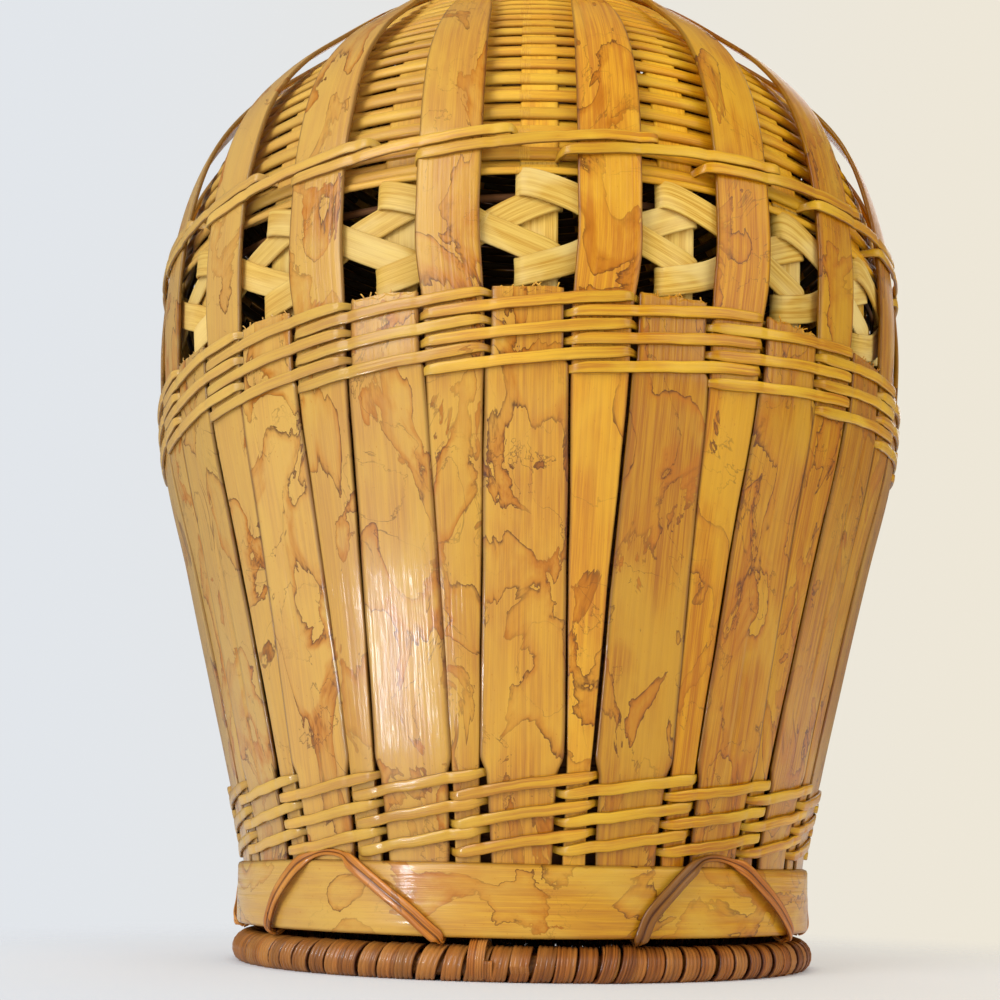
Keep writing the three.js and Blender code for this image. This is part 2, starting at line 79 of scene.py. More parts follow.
# The outline's bends as (share of the rise, share of the change in radius)
WALL_SHARES = (
    (0, 0), (0.1, 0.027), (0.204, 0.152), (0.384, 0.385),
    (0.56, 0.62), (0.736, 0.865), (0.866, 0.955), (1, 1),
)
SHOULDER_SHARES = (
    (0.198, 0.02), (0.391, 0.1), (0.548, 0.25), (0.7, 0.47), (0.834, 0.68),
    (0.885, 0.78), (0.927, 0.87), (0.96, 0.95), (1, 1),
)
NECK_SHARES = ((0.6, 0.2), (1, 1))

# Large stains as (flat, height, side, half height, half width, strength), the flat counted from the front
STAIN_PATCHES = (
    (0, 111, 1.5, 6, 4, 5), (0, 95, -6, 9, 4.5, 4), (0, 79, -4, 6, 5, 3.5),
    (0, 66, 4, 4, 3.5, 3), (0, 52, 6.5, 9, 3.2, 4.5),
    (1, 138, 1, 5, 5, 1.6),
    (-1, 93, -1, 7, 4, 2.2), (-1, 66, 0, 6, 4, 2.6), (-1, 152, 4, 3.5, 3, 3), (-1, 138, -1, 6, 5, 2),
    (-2, 76, -6, 6, 2.5, 3), (-2, 109, 4, 4, 3, 3),
    (-3, 103, 0.5, 9, 3.8, 2.7),
    (-4, 101, 3, 5, 4, 2.4), (-4, 58, 0, 8, 4, 3.2), (-4, 70, -4, 5, 3, 3),
    (-5, 90, -2, 9, 2.5, 3), (-5, 137, 1.5, 7, 3, 2.6),
    (2, 107, 0, 6, 6, 3.2), (2, 98, -4, 5, 2, 4),
    (3, 82, 2, 5, 3, 2.6), (3, 143, -0.5, 4.5, 3.6, 4.5),
    (4, 104, 0, 8, 5, 3), (4, 82, 1, 6, 5, 2.6), (4, 51, 1, 5, 3, 4.5),
    (5, 108, 0, 6, 3, 3),
)
# The hoop's stains as (flat, height, half width in flats, half height, strength)
HOOP_STAINS = ((-0.1, 16.5, 0.35, 5, 4), (-3.8, 14, 0.4, 5, 2.8), (2.4, 14, 0.5, 4, 3))
# How light some front strips are, by their flat
FRONT_TONES = {0: 0.58, 1: 0.74, 2: 0.3, 3: 0.55, -1: 0.48, -2: 0.5, -3: 0.45}
# How far some front ribs lean aside above the middle band
RIB_LEANS = {1: 1.4, 3: 1.4, -1: -1.5, -3: -1.4}


def between(shares, low, high, low_radius, high_radius):
    """Outline points (height, radius) between two rings."""
    return [(low + (high - low) * up, low_radius + (high_radius - low_radius) * out) for up, out in shares]


OUTLINE = np.array(
    between(WALL_SHARES, HOOP_BOTTOM, BELLY_HEIGHT, FOOT_RADIUS, BELLY_RADIUS)
    + between(SHOULDER_SHARES, BELLY_HEIGHT, NECK_HEIGHT, BELLY_RADIUS, NECK_RADIUS)
    + between(NECK_SHARES, NECK_HEIGHT, MOUTH_HEIGHT, NECK_RADIUS, MOUTH_RADIUS)
)
OUTLINE_SLOPES = np.empty(len(OUTLINE))
for i in range(len(OUTLINE)):
    before, after = OUTLINE[max(i - 1, 0)], OUTLINE[min(i + 1, len(OUTLINE) - 1)]
    OUTLINE_SLOPES[i] = (after[1] - before[1]) / (after[0] - before[0])


def radius(height):
    """Radius of the ribs' middle surface."""
    height = np.asarray(height, float)
    i = np.clip(np.searchsorted(OUTLINE[:, 0], height) - 1, 0, len(OUTLINE) - 2)
    span = OUTLINE[i + 1, 0] - OUTLINE[i, 0]
    t = np.clip((height - OUTLINE[i, 0]) / span, 0, 1)
    low, high = OUTLINE[i, 1], OUTLINE[i + 1, 1]
    leave = t * (1 - t) ** 2 * span * OUTLINE_SLOPES[i]
    arrive = t * t * (t - 1) * span * OUTLINE_SLOPES[i + 1]
    return low + (high - low) * t * t * (3 - 2 * t) + leave + arrive


def slope(height):
    """How much the radius grows in a millimetre of height."""
    return radius(np.asarray(height, float) + 0.5) - radius(np.asarray(height, float) - 0.5)


def vectors(a, b, c):
    """Rows of three numbers, from numbers and arrays that fit each other."""
    return np.stack(np.broadcast_arrays(*(np.asarray(v, float) for v in (a, b, c))), -1)


def polar(r, angle, z):
    """A point at a radius, an angle and a height, where angle 0 is the front."""
    return vectors(r * np.sin(angle), -r * np.cos(angle), z)


def sideways(angle):
    """The level direction that runs round the basket at an angle."""
    return vectors(np.cos(angle), np.sin(angle), 0)


def all_round(count):
    """So many angles, evenly round the basket."""
    return np.arange(count) * math.tau / count


def ring_point(angle, height, offset):
    """A point at an angle and height, moved square to the outline: outwards, or inwards below zero."""
    rise = slope(height)
    length = np.hypot(1, rise)
    return polar(radius(height) + offset / length, angle, height - offset * rise / length)


def flat_point(facet, side, height, offset):
    """A point on a flat strip, to one side of the strip's middle."""
    return ring_point(facet * TURN, height, offset) + side[..., None] * sideways(facet * TURN)


def upward(angle, height):
    """The direction up the outline."""
    rise = slope(height)
    length = np.hypot(1, rise)
    return polar(rise / length, angle, 1 / length)


def pitch_at(height):
    """The distance from one rib's middle to the next."""
    return 4 * radius(height) * math.tan(TURN / 2)


def share_of_tongue(height):
    """0 at the strips' lower ends, 1 from the lower band on."""
    return np.clip((np.asarray(height, float) - TONGUE_BOTTOM) / (LOW_BAND_TOP - TONGUE_BOTTOM), 0, 1)


def rib_width_at(height):
    free = pitch_at(np.maximum(height, LOW_BAND_TOP)) - STAVE_WIDTH - STRIP_CLEARANCE
    width = RIB_FOOT_WIDTH + (np.minimum(RIB_WIDTH, free) - RIB_FOOT_WIDTH) * share_of_tongue(height)
    width += RIB_WIDENING * step(height, STAVE_TOP - 2, STAVE_TOP + 8)
    widest = RIB_SHOULDER_WIDTH - RIB_WIDTH - RIB_WIDENING
    width += widest * step(height, RIB_WIDEN_START, RIB_TAPER_START)
    width += (RIB_NECK_WIDTH - RIB_SHOULDER_WIDTH) * step(height, RIB_TAPER_START, NECK_HEIGHT)
    return width


def stave_width_at(height):
    width = STAVE_FOOT_WIDTH + (STAVE_LOW_WIDTH - STAVE_FOOT_WIDTH) * share_of_tongue(height)
    width += (STAVE_WIDTH - STAVE_LOW_WIDTH) * step(height, LOW_BAND_TOP - 2.0, LOW_BAND_TOP + 2.2)
    width -= (STAVE_WIDTH - STAVE_BAND_WIDTH) * step(height, BAND_BOTTOM + 2.2, BAND_BOTTOM + 4.4)
    return width


def from_front(facet):
    """The flat's number counted from the front, below zero to the left."""
    return int((facet + RIBS) % FLATS - RIBS)


def patches(facet, height, side):
    """How strongly the placed stains show at a place on a flat."""
    total = np.zeros(np.shape(side))
    for flat, z, middle, tall, wide, strength in STAIN_PATCHES:
        if flat == from_front(facet):
            total = total + strength * np.exp(-(((height - z) / tall) ** 2) - ((side - middle) / wide) ** 2)
    return total


def step(value, low, high):
    """0 below low, 1 above high and smooth between."""
    t = np.clip((np.asarray(value, float) - low) / (high - low), 0, 1)
    return t * t * (3 - 2 * t)


WAVE_SHARES = (1.0, 0.57, 0.31)


def waves(along, seed, length):
    """Smooth random waves of about that length, between -1 and 1."""
    rng = np.random.default_rng(seed)
    total = 0
    for share in WAVE_SHARES:
        turns = np.asarray(along, float) / (length * share) + rng.random()
        total = total + share * np.sin(math.tau * turns)
    return total / sum(WAVE_SHARES)


def arc_lengths(points):
    """The distance of each point from the first, along the line through them."""
    return np.concatenate([[0], np.cumsum(np.linalg.norm(np.diff(points, axis=0), axis=1))])


def smooth_path(points, steps):
    """A smooth curve through points, with so many steps between two."""

    def mix(t, low, high, a, b):
        return ((high - t) * a + (t - low) * b) / (high - low)

    points = np.asarray(points, float)
    points = np.vstack([2 * points[0] - points[1], points, 2 * points[-1] - points[-2]])
    chords = np.linalg.norm(np.diff(points, axis=0), axis=1)
    knots = np.concatenate([[0], np.cumsum(np.sqrt(chords))])
    rows = []
    for i in range(1, len(points) - 2):
        t0, t1, t2, t3 = knots[i - 1 : i + 3]
        p0, p1, p2, p3 = points[i - 1 : i + 3]
        t = np.linspace(t1, t2, steps, endpoint=False)[:, None]
        a1, a2, a3 = mix(t, t0, t1, p0, p1), mix(t, t1, t2, p1, p2), mix(t, t2, t3, p2, p3)
        rows.append(mix(t, t1, t2, mix(t, t0, t2, a1, a2), mix(t, t1, t3, a2, a3)))
    return np.vstack([*rows, points[-2]])


# Cross-sections as (across, out) pairs in half widths and half thicknesses
def circle(sides):
    return np.array([(math.cos(math.tau * i / sides), math.sin(math.tau * i / sides)) for i in range(sides)])


ROUND = circle(8)
SPLIT = np.array(
    [(-1, -0.2), (-0.95, 0.35), (-0.75, 0.8), (-0.35, 0.98), (0, 1.03), (0.35, 0.98), (0.75, 0.8)]
    + [(0.95, 0.35), (1, -0.2), (0.88, -0.95), (0, -1), (-0.88, -0.95)]
)
THIN = np.array(
    [(-1, 0), (-0.97, 0.7), (-0.88, 0.97), (-0.45, 1), (0, 1), (0.45, 1), (0.88, 0.97), (0.97, 0.7), (1, 0)]
    + [(0.97, -0.7), (0.88, -0.97), (0, -1), (-0.88, -0.97), (-0.97, -0.7)]
)
FLAT = np.array(
    [(-1, -0.3), (-0.97, 0.4), (-0.87, 0.82), (-0.5, 0.97), (0, 1), (0.5, 0.97), (0.87, 0.82)]
    + [(0.97, 0.4), (1, -0.3), (0.9, -0.95), (0, -1), (-0.9, -0.95)]
)
RIDGES = np.array(
    [(-1, -0.2), (-0.96, 0.5), (-0.82, 1.0), (-0.66, 0.85), (-0.56, 0.3)]
    + [(-0.46, 0.85), (-0.28, 1.0), (-0.12, 0.85), (-0.03, 0.3)]
    + [(0.07, 0.85), (0.24, 1.0), (0.42, 0.85), (0.51, 0.3), (0.6, 0.85), (0.78, 1.0), (0.96, 0.5), (1, -0.2)]
    + [(0.95, -0.9), (0, -1), (-0.95, -0.9)]
)
GROOVED = np.array(
    [(-1, -0.2), (-0.95, 0.4), (-0.7, 0.95), (-0.4, 0.95), (-0.12, 0.55), (0, 0.1), (0.12, 0.55)]
    + [(0.4, 0.95), (0.7, 0.95), (0.95, 0.4), (1, -0.2), (0.85, -0.95), (0, -1), (-0.85, -0.95)]
)


# A groove is coloured like this place between a strip's middle (0) and its edge (1)
GROOVE_EDGE = 0.97


class Piece:
    """Points and faces of one piece in millimetres, with the way that its fibres run."""

    def __init__(self):
        self.points, self.quads, self.caps, self.fibres, self.looks = [], [], [], [], []
        self.count = 0

    def skin(self, sections, fibres, looks, ring=False):
        """Joins sections into one closed body, marked with (across, along, seed) and (edge, tone, stain); a
        stain below zero is painted shade.
        """
        n, k, _ = sections.shape
        index = np.arange(n * k).reshape(n, k)
        here = index if ring else index[:-1]
        there = np.roll(index, -1, axis=0) if ring else index[1:]
        corners = [here, np.roll(here, -1, axis=1), np.roll(there, -1, axis=1), there]
        quads = np.stack(corners, -1).reshape(-1, 4)
        flat = sections.reshape(-1, 3)
        a, b, c, d = (flat[quads[:, i]] for i in range(4))
        middle = flat.mean(0)
        volume = np.einsum("ij,ij->", (a - middle), np.cross(b - a, c - a) + np.cross(c - a, d - a))
        caps = [] if ring else [index[0][::-1], index[-1]]
        if volume < 0:
            quads = quads[:, ::-1]
            caps = [cap[::-1] for cap in caps]
        self.points.append(flat)
        self.quads.append(quads + self.count)
        self.caps += [(cap + self.count).tolist() for cap in caps]
        self.fibres.append(np.broadcast_to(fibres, sections.shape).reshape(-1, 3))
        self.looks.append(np.broadcast_to(looks, sections.shape).reshape(-1, 3))
        self.count += n * k

    def strand(self, path, up, width, thickness, profile, seed, tone, ring=False, inside=0.0):
        """A strip or cane along a path, with its width lying along up. Inside is how strongly its back is
        painted in shade.
        """
        if ring:
            tangent = np.roll(path, -1, axis=0) - np.roll(path, 1, axis=0)
        else:
            tangent = np.gradient(path, axis=0)
        tangent /= np.linalg.norm(tangent, axis=1)[:, None]
        out = np.cross(tangent, up)
        out /= np.linalg.norm(out, axis=1)[:, None]
        across = np.cross(out, tangent)
        width, thickness, tone = (np.broadcast_to(v, len(path))[:, None] for v in (width, thickness, tone))
        sections = (
            path[:, None]
            + across[:, None] * (profile[:, 0] * width / 2)[..., None]
            + out[:, None] * (profile[:, 1] * thickness / 2)[..., None]
        )
        grooved = (profile[:, 1] > 0) & (profile[:, 1] < 0.6) & (np.abs(profile[:, 0]) < 0.9)
        edge = np.where(grooved, GROOVE_EDGE, np.abs(profile[:, 0]))
        fibres = vectors(profile[:, 0] * width / 2, arc_lengths(path)[:, None], seed)
        # Painted shade on the back faces, stored as a stain below zero
        looks = vectors(edge, tone, -inside * np.clip(0.3 - profile[:, 1], 0, 1))
        self.skin(sections, fibres, looks, ring=ring)

    def flatten(self, floor):
        """Flattens the last body where it stands on the floor."""
        self.points[-1][:, 2] = np.maximum(self.points[-1][:, 2], floor)

    def finish(self, name, slot, *nodes, material=None):
        """Makes the Blender object, which rides on the one body and stands for those CAD nodes."""
        mesh = bpy.data.meshes.new(name)
        quads = np.vstack(self.quads)
        mesh.from_pydata(np.vstack(self.points) * MM, [], quads.tolist() + self.caps)
        for label, rows in (("fibres", self.fibres), ("looks", self.looks)):
            attribute = mesh.attributes.new(label, "FLOAT_VECTOR", "POINT")
            attribute.data.foreach_set("vector", np.vstack(rows).astype(np.float32).ravel())
        mesh.polygons.foreach_set("use_smooth", [True] * len(quads) + [False] * len(self.caps))
        mesh.materials.append(MATERIALS[material or slot])
        made = bpy.data.objects.new(name, mesh)
        bpy.context.scene.collection.objects.link(made)
        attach(made, "root")
        if nodes:
            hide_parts(*nodes)


# Materials
def feed(made, inputs):
    """Links each input of a node to a socket, or sets it to a value."""
    for key, value in inputs.items():
        if isinstance(value, bpy.types.NodeSocket):
            made.id_data.links.new(value, made.inputs[key])
        else:
            made.inputs[key].default_value = value


def node(tree, kind, inputs=None, **settings):
    made = tree.nodes.new(kind)
    for key, value in settings.items():
        setattr(made, key, value)
    feed(made, inputs or {})
    return made


def calc(operation, a, b=0.0, clamp=False):
    """One step of arithmetic, in the tree of whichever value is a socket."""
    tree = (a if isinstance(a, bpy.types.NodeSocket) else b).id_data
    return node(tree, "ShaderNodeMath", {0: a, 1: b}, operation=operation, use_clamp=clamp).outputs[0]


def plus(a, b):
    return calc("ADD", a, b)


def minus(a, b, clamp=False):
    return calc("SUBTRACT", a, b, clamp)


def times(a, b, clamp=False):
    return calc("MULTIPLY", a, b, clamp)


def blend(share, a, b):
    """The colour a, turning into b as the share goes to 1."""
    return node(share.id_data, "ShaderNodeMix", {0: share, 6: a, 7: b}, data_type="RGBA").outputs[2]


def between_values(value, low, high):
    """0 at low, 1 at high, and smooth between."""
    inputs = {"Value": value, "From Min": low, "From Max": high}
    made = node(value.id_data, "ShaderNodeMapRange", inputs, interpolation_type="SMOOTHSTEP")
    return made.outputs["Result"]


def noise(vector, stretch, detail, roughness=0.55, distortion=0.0):
    """Noise around 0.5. Stretch says how fast it changes across, along and from seed to seed."""
    tree = vector.id_data
    scaled = node(tree, "ShaderNodeVectorMath", {0: vector, 1: stretch}, operation="MULTIPLY")
    inputs = {"Vector": scaled.outputs[0], "Scale": 1.0, "Detail": detail, "Roughness": roughness}
    inputs["Distortion"] = distortion
    return node(tree, "ShaderNodeTexNoise", inputs).outputs["Fac"]


def color(red, green, blue):
    """A colour from its 0-255 values."""
    linear = [((v / 255 + 0.055) / 1.055) ** 2.4 if v > 10 else v / 255 / 12.92 for v in (red, green, blue)]
    return (*linear, 1.0)


STAIN = (188, 108, 2)
LINE = color(70, 26, 4)
INWARD_SHADE = color(36, 20, 9)
LIT_SIDE_COLOUR = color(210, 172, 98)


def bamboo(
    name, light, dark, pale, stain=STAIN, stain_level=0.7, roughness=0.36, coat=0.3, grain=1.0,
    fleck=0.4, edge_dark=0.35, vein_share=0.0, lit_side_share=0.7,
):
    """Bamboo or cane: fibres along each strip, lighter and darker clouds, stains with dark outlines."""
    light, dark, pale, stain = (color(*rgb) for rgb in (light, dark, pale, stain))
    material = bpy.data.materials.new(name)
    material.use_nodes = True
    tree = material.node_tree
    fibres = node(tree, "ShaderNodeAttribute", attribute_name="fibres").outputs["Vector"]
    looks = node(tree, "ShaderNodeAttribute", attribute_name="looks").outputs["Vector"]
    edge, tone, stain_and_shade = node(tree, "ShaderNodeSeparateXYZ", {0: looks}).outputs[:3]

    # Fibres, clouds, and painted light that makes the side where the daylight falls paler
    fine = noise(fibres, (5.5, 0.11, 7.3), 3.0)
    coarse = noise(fibres, (1.3, 0.025, 3.1), 2.0)
    cloud = noise(fibres, (0.09, 0.035, 9.7), 3.0, distortion=0.4)
    grained = plus(times(fine, 0.45), times(coarse, 0.55))
    base = blend(between_values(grained, 0.36, 0.64), dark, light)
    base = blend(times(between_values(cloud, 0.42, 0.66), 0.75), base, pale)
    place = node(tree, "ShaderNodeSeparateXYZ", {0: node(tree, "ShaderNodeTexCoord").outputs["Object"]})
    # Painted light: the left side, where the daylight falls, is painted paler
    on_lit_side = between_values(place.outputs[0], 0.045, -0.085)
    base = blend(times(on_lit_side, lit_side_share), base, LIT_SIDE_COLOUR)
    value = plus(0.72, times(tone, 0.56))
    base = node(tree, "ShaderNodeHueSaturation", {"Color": base, "Value": value}).outputs["Color"]

    # Soaked stains, which fade away from their dark rims
    drift = noise(fibres, (0.085, 0.045, 21.7), 6.0, 0.52, 0.7)
    inside = minus(drift, minus(stain_level, times(stain_and_shade, 0.06)))
    patchy = between_values(noise(fibres, (0.11, 0.05, 5.9), 3.0), 0.4, 0.62)
    fading = minus(1.0, between_values(inside, 0.0, 0.11))
    soaked = times(between_values(inside, 0.0, 0.008), fading)
    base = blend(times(soaked, plus(0.3, times(patchy, 0.6))), base, stain)
    rim_fade = minus(1.0, calc("DIVIDE", inside, 0.034), clamp=True)
    rim_start = between_values(inside, -0.002, 0.002)
    rim = times(times(rim_fade, rim_fade), rim_start)
    strong = between_values(noise(fibres, (0.07, 0.05, 13.1), 2.0), 0.44, 0.6)
    strong = calc("MAXIMUM", strong, between_values(stain_and_shade, 0.9, 1.6))
    base = blend(times(rim, plus(0.28, times(strong, 0.7))), base, LINE)

    # Thin veins, spots, darker edges, and painted shade on surfaces that face inwards
    far = minus(noise(fibres, (0.06, 0.04, 31.3), 6.0, 0.55, 0.9), 0.5)
    off = calc("DIVIDE", calc("ABSOLUTE", far), 0.006)
    vein = times(minus(1.0, off, clamp=True), vein_share)
    base = blend(times(vein, plus(0.15, patchy)), base, LINE)
    spots = between_values(noise(fibres, (1.9, 1.1, 17.9), 2.0), 0.68, 0.74)
    base = blend(times(spots, fleck), base, stain)
    base = blend(times(between_values(edge, 0.88, 0.99), edge_dark), base, LINE)
    # Painted shade where the stain value is below zero
    shaded = times(stain_and_shade, -1.0, clamp=True)
    base = blend(times(shaded, 0.9), base, INWARD_SHADE)

    # Satin lacquer over fine fibres
    rough = plus(roughness - 0.08, times(fine, 0.16))
    height = plus(times(fine, 0.6), times(coarse, 0.8))
    bump = node(tree, "ShaderNodeBump", {"Height": height, "Strength": 0.5 * grain, "Distance": 0.00012})
    streaks = node(tree, "ShaderNodeBump", {"Height": coarse, "Strength": 1.0, "Distance": 0.0002})
    inputs = {"Base Color": base, "Roughness": rough, "Specular IOR Level": 0.25, "Normal": bump.outputs[0]}
    inputs |= {"Coat Weight": coat, "Coat Roughness": 0.1, "Coat Normal": streaks.outputs[0]}
    feed(tree.nodes["Principled BSDF"], inputs)
    return material


MATERIALS = {
    "rib": bamboo(
        "rib_bamboo", (214, 148, 8), (184, 108, 2), (220, 164, 34),
        stain_level=0.57, coat=0.25, fleck=0.35, edge_dark=0.6, vein_share=0.4,
    ),
    "stave": bamboo(
        "stave_bamboo", (212, 146, 10), (178, 104, 2), (218, 162, 38),
        stain_level=0.56, roughness=0.32, coat=0.4, fleck=0.45, edge_dark=0.6, vein_share=0.6,
    ),
    "weaver": bamboo(
        "weaver_bamboo", (226, 166, 14), (188, 114, 4), (232, 184, 44),
        stain_level=0.74, roughness=0.34, grain=1.2, fleck=0.25, edge_dark=0.6,
    ),
    "openwork_strip": bamboo(
        "openwork_bamboo", (228, 190, 88), (196, 142, 36), (238, 210, 132),
        stain_level=0.8, roughness=0.6, coat=0.05, grain=1.4, fleck=0.1, edge_dark=0.15, lit_side_share=0.4,
    ),
    "wicker": bamboo(
        "wicker_bamboo", (236, 172, 16), (204, 130, 6), (240, 188, 44),
        stain_level=0.76, roughness=0.45, coat=0.1, grain=1.2, fleck=0.25, edge_dark=0.2,
    ),
    "inner": bamboo(
        "inner_bamboo", (112, 70, 30), (80, 46, 18), (128, 84, 40), (60, 32, 12),
        roughness=0.7, coat=0.0, grain=1.2, fleck=0.3, edge_dark=0.3, lit_side_share=0.0,
    ),
    "hoop": bamboo(
        "hoop_bamboo", (216, 156, 16), (188, 120, 8), (218, 172, 58),
        stain_level=0.57, vein_share=0.25,
    ),
    "cane": bamboo(
        "cane", (172, 100, 32), (112, 56, 12), (190, 126, 56), (80, 36, 12),
        roughness=0.4, coat=0.25, edge_dark=0.9, lit_side_share=0.1,
    ),
    "tie": bamboo(
        "tie_cane", (188, 114, 30), (146, 76, 12), (204, 138, 56), (90, 40, 12),
        fleck=0.3, edge_dark=0.75, lit_side_share=0.1,
    ),
}


STRIP_WAVE, STRIP_CROWN = 0.12, 0.22
GROOVE_WIDTH, GROOVE_DEPTH = 0.28, 0.42
FIBRES_PER_STAVE = 9


def upright(
    piece, facet, heights, half_width, columns, seed, tone, stain, shift=0.0, groove=None, ragged=0.0
):
    """A strip standing on a flat. Its front is slightly crowned and its edges are rounded.

    A groove is (side, depth, low end, high end), and ragged is how far the fibres stick out at the top.
    """
    # The front from edge to edge, its crown, and then the back
    u = np.concatenate([[-1, -0.985, -0.94], np.linspace(-0.82, 0.82, columns), [0.94, 0.985, 1]])
    crown = np.concatenate([[-0.85, -0.25, 0.0], np.zeros(columns), [0.0, -0.25, -0.85]])
    profile_side = np.concatenate([u, [0.97, 0.5, 0.0, -0.5, -0.97]])
    shift = np.broadcast_to(shift, len(heights))[:, None]
    left, right, bow = (
        STRIP_WAVE * waves(heights, seed * 7 + extra, length)[:, None]
        for extra, length in ((1, 47), (2, 39), (3, 83))
    )
    rng = np.random.default_rng(seed * 17 + 5)
    cut = (half_width.max() - half_width)[:, None] * np.where(profile_side < 0, *rng.uniform(-0.14, 0.22, 2))
    outward = np.where(profile_side < 0, left * -profile_side, right * profile_side)
    side = profile_side * (half_width[:, None] + cut) + outward + shift
    rise = np.empty(side.shape)
    bulge = STRIP_CROWN * (1 - u**2)
    rise[:, : len(u)] = HALF_RIB + crown * 2 * HALF_RIB * 0.55 + bulge + bow
    rise[:, len(u) :] = bow - HALF_RIB
    if groove is not None:
        middle, deep, low, high = groove
        ends = step(heights, low, low + 12) * (1 - step(heights, high - 12, high))
        wander = 0.3 * waves(heights, seed + 5, 60)[:, None]
        notch = np.exp(-(((side - middle - wander) / GROOVE_WIDTH) ** 2))
        rise[:, : len(u)] -= (notch * deep * ends[:, None])[:, : len(u)]
    z = np.broadcast_to(heights[:, None], rise.shape).copy()
    if ragged:
        rng = np.random.default_rng(seed * 13 + 4)
        fray = rng.uniform(-1, 1, len(profile_side)) * ragged
        fray[len(u) :] = np.interp(profile_side[len(u) :], u, fray[: len(u)])
        z[-1] += fray
        z[-2] += fray * 0.7
    facet_tone = FRONT_TONES.get(from_front(facet), tone)
    looks = vectors(np.abs(profile_side), facet_tone, stain + patches(facet, z, side - shift))
    piece.skin(flat_point(facet, side, z, rise), vectors(side - shift, z, seed), looks)


# The seam (side, depth, low end, high end) in every fifth rib, and where ribs lean aside
RIB_SEAM, LEAN_START, LEAN_END = (-1.6, 0.5, 178, 282), 122, 142


def build_ribs():
    rng = np.random.default_rng(11)
    heights = np.concatenate([np.linspace(TONGUE_BOTTOM, 50, 16), np.linspace(52.5, MOUTH_HEIGHT, 112)])
    for i in range(RIBS):
        piece = Piece()
        seam = RIB_SEAM if i % 5 == 0 else None
        leans = RIB_LEANS.get(from_front(2 * i + 1), 0.0) * step(heights, LEAN_START, LEAN_END)
        upright(
            piece, 2 * i + 1, heights, rib_width_at(heights) / 2, columns=19 if seam else 13, seed=i + 1,
            tone=rng.uniform(0.35, 0.65), stain=rng.uniform(0.0, 1.0), shift=leans, groove=seam,
        )
        name = f"rib_{i + 1:02d}"
        piece.finish(name + "_bamboo", "rib", name)


def build_staves():
    rng = np.random.default_rng(23)
    heights = np.concatenate(
        [np.linspace(TONGUE_BOTTOM, 37, 11), np.linspace(38, 43.5, 9), np.linspace(45, 108.5, 38)]
        + [np.linspace(110.4, 117, 12), np.linspace(119, STAVE_TOP - 1.2, 6), [STAVE_TOP - 0.5, STAVE_TOP]]
    )
    for i in range(RIBS):
        piece = Piece()
        groove = None
        if i % 3 != 1:
            groove = (rng.uniform(-2.0, 2.0), GROOVE_DEPTH, rng.uniform(30, 60), rng.uniform(95, 128))
        closer = rng.uniform(0.12, 0.2) * rng.choice([-1, 1])
        upright(
            piece, 2 * i, heights, stave_width_at(heights) / 2 + 0.14, columns=19, seed=i + 41,
            tone=rng.uniform(0.32, 0.68), stain=rng.uniform(0.0, 1.3), shift=closer, groove=groove,
            ragged=0.5,
        )
        # Frayed fibres on the top end
        s = np.linspace(0, 1, 6)
        for _ in range(FIBRES_PER_STAVE):
            side = rng.uniform(-0.9, 0.9) * STAVE_BAND_WIDTH / 2
            lean, tall = rng.uniform(-1.6, 1.6), rng.uniform(0.7, 1.9)
            path = flat_point(2 * i, side + lean * s**2, STAVE_TOP - 0.6 + tall * s, 0.1 + 0.5 * s**2)
            piece.strand(path, sideways(2 * i * TURN), 0.3, 0.16, circle(5), i + 41, tone=0.9)
        name = f"stave_{i + 1:02d}"
        piece.finish(name + "_bamboo", "stave", name)


# A weaver's thickness, its place in front of the strips, its ramp at a stave's edge and its tuck behind it
WEAVER_THICKNESS, WEAVER_FRONT, WEAVER_RAMP, WEAVER_TUCK = 0.8, 1.22, 1.7, 1.1
WEAVER_STEPS, HIDDEN_STEPS = 56, 14
# How deep and how long it sinks into the gap beside a rib
DIP_DEPTH, DIP_LENGTH = 0.22, 0.9
# The radius at which a weaver's random waves are measured
WAVE_RADIUS = 90


